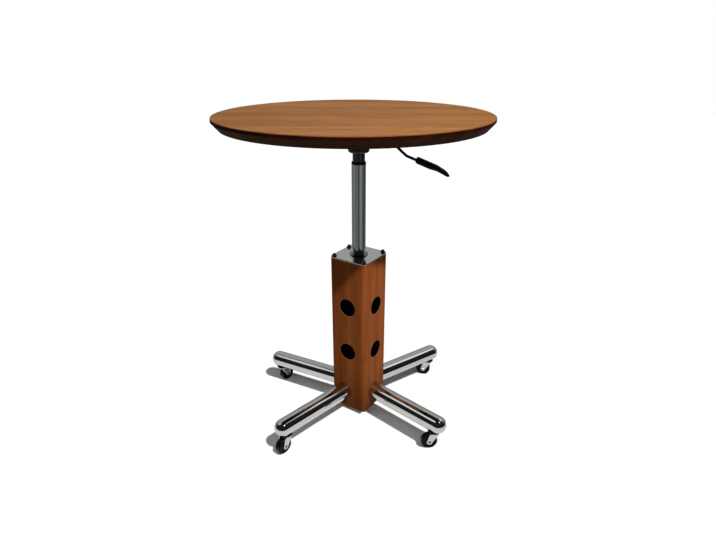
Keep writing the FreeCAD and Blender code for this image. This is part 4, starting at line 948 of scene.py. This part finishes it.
# %% Bend the rod
ROD_RADIUS, ROD_HEIGHT, ROD_BEND, BEND_POINTS = 3.2, 732.0, 16.0, 14
ROD_BACK, ROD_RUN = 8.0, 46.0
DROP_RUN, DROP_ANGLE, END_RUN, END_ANGLE = 80.7, np.radians(42.0), 64.0, np.radians(23.0)
BOSS_RADIUS, BOSS_HALF, BOSS_ROUND, BOSS_RUN, BOSS_DROP, BOSS_COUNT = 5.5, 12.0, 0.6, 26.0, 8.0, 48
first_bend = np.array([POLE + ROD_RUN, ROD_HEIGHT])
second_bend = first_bend + DROP_RUN * np.array([np.cos(DROP_ANGLE), -np.sin(DROP_ANGLE)])
grip_way = np.array([np.cos(END_ANGLE), -np.sin(END_ANGLE)])
rod_line = rounded([(POLE - ROD_BACK, ROD_HEIGHT, 0), (*first_bend, ROD_BEND), (*second_bend, ROD_BEND),
                    (*(second_bend + END_RUN * grip_way), 0)], BEND_POINTS)[BEND_POINTS - 1:1 - BEND_POINTS]
rod_path = np.column_stack([rod_line[:, 0], np.zeros(len(rod_line)), rod_line[:, 1]])
rod_sizes = np.pad(np.full(len(rod_path), ROD_RADIUS), 1)
rod = carried(np.vstack([rod_path[:1], rod_path, rod_path[-1:]]), rod_sizes)
boss = rounded([(0, -BOSS_HALF), (BOSS_RADIUS, -BOSS_HALF, BOSS_ROUND),
                (BOSS_RADIUS, BOSS_HALF, BOSS_ROUND), (0, BOSS_HALF)])
boss_middle = (POLE + BOSS_RUN, 0, ROD_HEIGHT - BOSS_DROP)
piece("bent_rod", [
    (rod, "lever_steel"),
    (turned(boss, boss_middle, (0, 1, 0), BOSS_COUNT), "lever_steel"),
], "lever_rod")

# %% Loft the paddle
GRIP_START, GRIP_LENGTH, GRIP_HALF, TIP_ROUND, CORNER_POWER = 25.0, 83.5, 14.0, 11.0, 3.4
GRIP_ROWS, GRIP_COUNT, ROW_CROWDING = 44, 64, 0.9
BUTT_RUN, BUTT_SHARE = 1.2, 0.9
SPREAD, SPREAD_COUNT = 4.0, 17
TOP_LINE = np.array([(0, 8), (50, 8), (69.5, 4.8), (79.5, 1.4), (83.5, -2.8)])
BOTTOM_LINE = np.array([(0, -6.3), (35, -6.3), (48.5, -4.1), (62, -5), (79, -6.9), (83.5, -3.0)])


def eased(line, stations):
    """Heights read from a line of corners and averaged over a few millimetres, so that it bends."""
    spread = np.linspace(-SPREAD, SPREAD, SPREAD_COUNT)[:, None]
    near = np.minimum(np.abs(spread), np.minimum(stations, GRIP_LENGTH - stations))
    return np.interp(stations + np.sign(spread) * near, *line.T).mean(0)


def paddle():
    """Station x, angle t: y = w * |cos t|^(2/n), z = middle + h * |sin t|^(2/n), signs kept, with w
    the half width in plan, which ends in an arc, and h the half height between the two lines. The
    first stretch grows by a quarter ellipse from 0.9 of both, which rounds the butt."""
    stations = GRIP_LENGTH * np.sin(np.linspace(0, np.pi / 2, GRIP_ROWS)) ** ROW_CROWDING
    top, bottom = eased(TOP_LINE, stations), eased(BOTTOM_LINE, stations)
    past = np.maximum(stations - (GRIP_LENGTH - TIP_ROUND), 0)
    wide = GRIP_HALF - TIP_ROUND + np.sqrt(np.maximum(TIP_ROUND**2 - past**2, 0))
    butt = np.clip(stations / BUTT_RUN, 0, 1)
    scale = BUTT_SHARE + (1 - BUTT_SHARE) * np.sqrt(1 - (1 - butt) ** 2)
    middle, high = (top + bottom) / 2, (top - bottom) / 2
    rows = np.column_stack([stations, middle, high * scale, wide * scale])
    rows = np.vstack([(0, middle[0], 0, 0), rows, (GRIP_LENGTH, middle[-1], 0, 0)])
    station, middle, high, wide = rows.T[..., None]
    t = np.linspace(0, 2 * np.pi, GRIP_COUNT, endpoint=False)[None, :]
    power = 2 / CORNER_POWER
    y = wide * np.sign(np.cos(t)) * np.abs(np.cos(t)) ** power
    up = middle + high * np.sign(np.sin(t)) * np.abs(np.sin(t)) ** power
    along = np.broadcast_to(station, y.shape)
    origin = second_bend + GRIP_START * grip_way
    x = origin[0] + along * grip_way[0] - up * grip_way[1]
    z = origin[1] + along * grip_way[1] + up * grip_way[0]
    return grid(np.stack([x, y, z], -1))


piece("paddle", [(paddle(), "black_plastic")], "lever_grip")

# %% [markdown]
# ## Floor, lamps and surroundings
#
# The floor and the surroundings are white where the camera sees them. Polished metal shows what is
# round it, so it gets a studio: pale walls with darker stretches between them. White and grey cards
# could be built round the table, but a strength that follows the ray's direction does the same with
# less noise. The lamps are plain soft boxes, apart from the key lamp, which is small and strong, so
# that its shadows on the table have crisp edges. Two lamps are for the floor alone, so that the
# shadows of legs and castors fall short and clear on it.

# %% Floor
def shown_rays(tree):
    """A mask of the rays that show the surroundings: those from the camera, and those that a polished
    or a clear surface sends on."""
    kinds = add(tree, "LightPath").outputs
    shown = calc(tree, "MAXIMUM", kinds["Is Camera Ray"], kinds["Is Glossy Ray"])
    return calc(tree, "MAXIMUM", shown, kinds["Is Transmission Ray"]), kinds["Is Camera Ray"]


FLOOR_HALF, FLOOR_GREY, SHOWN_WHITE = 6.0, (0.12, 0.12, 0.12, 1), (0.95, 0.95, 0.95, 1)
NEAR_EDGE, FAR_EDGE, NEAR_SHARE = 0.45, 0.95, 0.8
FAR_STRETCHES = ((0.0, 0.2), (0.12, 0.17), (0.22, 0.12), (0.33, 0.22), (0.38, 0.1), (0.45, 0.07),
                 (0.57, 0.09), (0.7, 0.26), (0.88, 0.22), (0.97, 0.07), (1.0, 0.07))


def make_floor():
    """A square of 12 m. Where it lights the table it is a plain grey floor; where the camera sees it,
    it is white. In polished metal it is white near the table, and falls off to paler and darker
    stretches, told by how far each spot lies to the left or right for its distance."""
    corners = [(x * FLOOR_HALF, y * FLOOR_HALF, 0.0) for x, y in ((-1, -1), (1, -1), (1, 1), (-1, 1))]
    mesh = bpy.data.meshes.new("floor")
    mesh.from_pydata(corners, [], [(0, 1, 2, 3)])
    floor = bpy.data.objects.new("floor", mesh)
    bpy.context.scene.collection.objects.link(floor)
    tree, shader, spot = new_finish("floor_white")
    away = add(tree, "VectorMath", {0: spot}, operation="LENGTH").outputs["Value"]
    sideways = calc(tree, "DIVIDE", add(tree, "SeparateXYZ", {0: spot}).outputs[0], away)
    far = ramp(tree, between(tree, sideways, -1.0, 1.0),
               [(place, (grey,) * 3) for place, grey in FAR_STRETCHES])
    near = between(tree, away, NEAR_EDGE, FAR_EDGE, NEAR_SHARE, 0.0)
    shown, by_camera = shown_rays(tree)
    studio = mix_colours(tree, near, far, SHOWN_WHITE)
    seen = mix_colours(tree, by_camera, studio, SHOWN_WHITE)
    tree.links.new(mix_colours(tree, shown, FLOOR_GREY, seen), shader.inputs["Base Color"])
    set_all(shader, {"Roughness": 1.0, "Specular IOR Level": 0.0})
    mesh.materials.append(FINISHES["floor_white"])
    return floor


floor = make_floor()
print("floor", 2 * FLOOR_HALF, "m square")

# %% Surroundings
# Each wall has a start and an end along the direction of sight, and a strength at either end.
BACK_WALL, SIDE_WALLS, CEILING = (-0.1, 0.4, 0.02, 0.5), (0.04, 0.24, 0.6, 0.05), (0.08, 0.3)
AMBIENT = 0.07
world = bpy.data.worlds.new("studio")
bpy.context.scene.world = world
world.use_nodes = True
tree = world.node_tree
way = add(tree, "SeparateXYZ", {0: add(tree, "TexCoord").outputs["Generated"]}).outputs
shown, by_camera = shown_rays(tree)
behind = between(tree, way[1], *BACK_WALL)
beside = between(tree, calc(tree, "ABSOLUTE", way[0], 0.0), *SIDE_WALLS)
above = between(tree, way[2], *CEILING)
studio = calc(tree, "MULTIPLY", behind, calc(tree, "MAXIMUM", beside, above))
seen = calc(tree, "MAXIMUM", studio, by_camera)
lighting = calc(tree, "MULTIPLY", calc(tree, "SUBTRACT", 1.0, shown), AMBIENT)
strength = calc(tree, "ADD", calc(tree, "MULTIPLY", shown, seen), lighting)
backdrop = tree.nodes["Background"]
backdrop.inputs["Color"].default_value = (1, 1, 1, 1)
tree.links.new(strength, backdrop.inputs["Strength"])
print("surroundings:", len(tree.nodes), "nodes")

# %% Lamps
LOW_FORMS = ("tube", "cup", "fork", "crown", "wheel", "axle", "bottom", "leg")
MIDDLE, FLOOR_MIDDLE = (0.0, 0.0, 0.55), (0.0, 0.0, 0.0)
table_parts = bpy.data.collections.new("table parts")
low_parts = bpy.data.collections.new("low parts")
floor_only = bpy.data.collections.new("floor only")
floor_only.objects.link(floor)
for part in [o for o in bpy.context.scene.objects if o.type == "MESH" and o != floor]:
    table_parts.objects.link(part)
    if part.name.split("_")[0] in LOW_FORMS:
        low_parts.objects.link(part)


def lamp(name, kind, place, aim, power, size, receivers, blockers=None, mirrored=True):
    """A lamp at a place, turned towards a point, that lights only its receivers and is stopped only
    by its blockers. Polished metal shows it only if it is mirrored. Power and size are in watts and
    metres, and for a sun in watts a square metre and degrees."""
    light = bpy.data.lights.new(name, kind)
    light.energy = power
    if kind == "SUN":
        light.angle = np.radians(size)
    else:
        light.shape, light.size = "SQUARE", size
    made = bpy.data.objects.new(name, light)
    bpy.context.scene.collection.objects.link(made)
    made.location = place
    from_aim = made.location - type(made.location)(aim)
    made.rotation_euler = from_aim.to_track_quat("Z", "Y").to_euler()
    made.visible_camera = False
    made.visible_glossy = mirrored
    made.light_linking.receiver_collection = receivers
    if blockers:
        made.light_linking.blocker_collection = blockers
    return made


def from_middle(azimuth, elevation, distance, middle=MIDDLE):
    """A place round the table: middle + distance * (cos e * cos a, cos e * sin a, sin e)."""
    azimuth, elevation = np.radians(azimuth), np.radians(elevation)
    level = np.cos(elevation) * distance
    return (middle[0] + level * np.cos(azimuth), middle[1] + level * np.sin(azimuth),
            middle[2] + np.sin(elevation) * distance)


lamp("key", "AREA", from_middle(-56, 51.3, 2.6), MIDDLE, 67.0, 0.07, table_parts)
lamp("overhead", "AREA", from_middle(120, 72, 2.4), MIDDLE, 4.0, 1.6, table_parts, mirrored=False)
lamp("front fill", "AREA", from_middle(-60, 14, 3.0), MIDDLE, 3.0, 1.4, table_parts, mirrored=False)
lamp("back fill", "AREA", from_middle(101, 22, 3.0), MIDDLE, 7.0, 1.4, table_parts, mirrored=False)
lamp("left box", "AREA", (-1.75, -0.3, 2.4), MIDDLE, 2.5, 0.9, table_parts)
lamp("right box", "AREA", (1.5, 0.4, 2.3), MIDDLE, 2.5, 0.9, table_parts)
lamp("floor lamp", "SUN", from_middle(-48, 58, 3.0, FLOOR_MIDDLE), FLOOR_MIDDLE, 3.5, 3.0,
     floor_only, low_parts)
lamp("floor fill", "SUN", from_middle(-125, 66, 3.0, FLOOR_MIDDLE), FLOOR_MIDDLE, 0.44, 50.0,
     floor_only, table_parts)
print(len(bpy.data.lights), "lamps")

# %% [markdown]
# ## Camera
#
# A fairly wide lens close to the table, a little above the top and looking down on it. A longer lens
# from further off would flatten the table; from close by the post narrows towards its foot and the
# legs spread.

# %% Camera
SENSOR_WIDTH, FOCAL_LENGTH, SIDE_SHIFT = 36.0, 25.51, -0.0011
CAMERA_PLACE, CAMERA_DIP = (0.011, -1.1333, 0.90445), 23.98
lens = bpy.data.cameras.new("camera")
lens.sensor_fit, lens.sensor_width = "HORIZONTAL", SENSOR_WIDTH
lens.lens, lens.shift_x = FOCAL_LENGTH, SIDE_SHIFT
camera = bpy.data.objects.new("camera", lens)
bpy.context.scene.collection.objects.link(camera)
camera.location = CAMERA_PLACE
camera.rotation_euler = (np.radians(90 - CAMERA_DIP), 0.0, 0.0)
bpy.context.scene.camera = camera
bpy.context.scene.view_settings.view_transform = "Standard"
print(f"camera {camera.location.length:.2f} m from the origin, {CAMERA_DIP} degrees down")
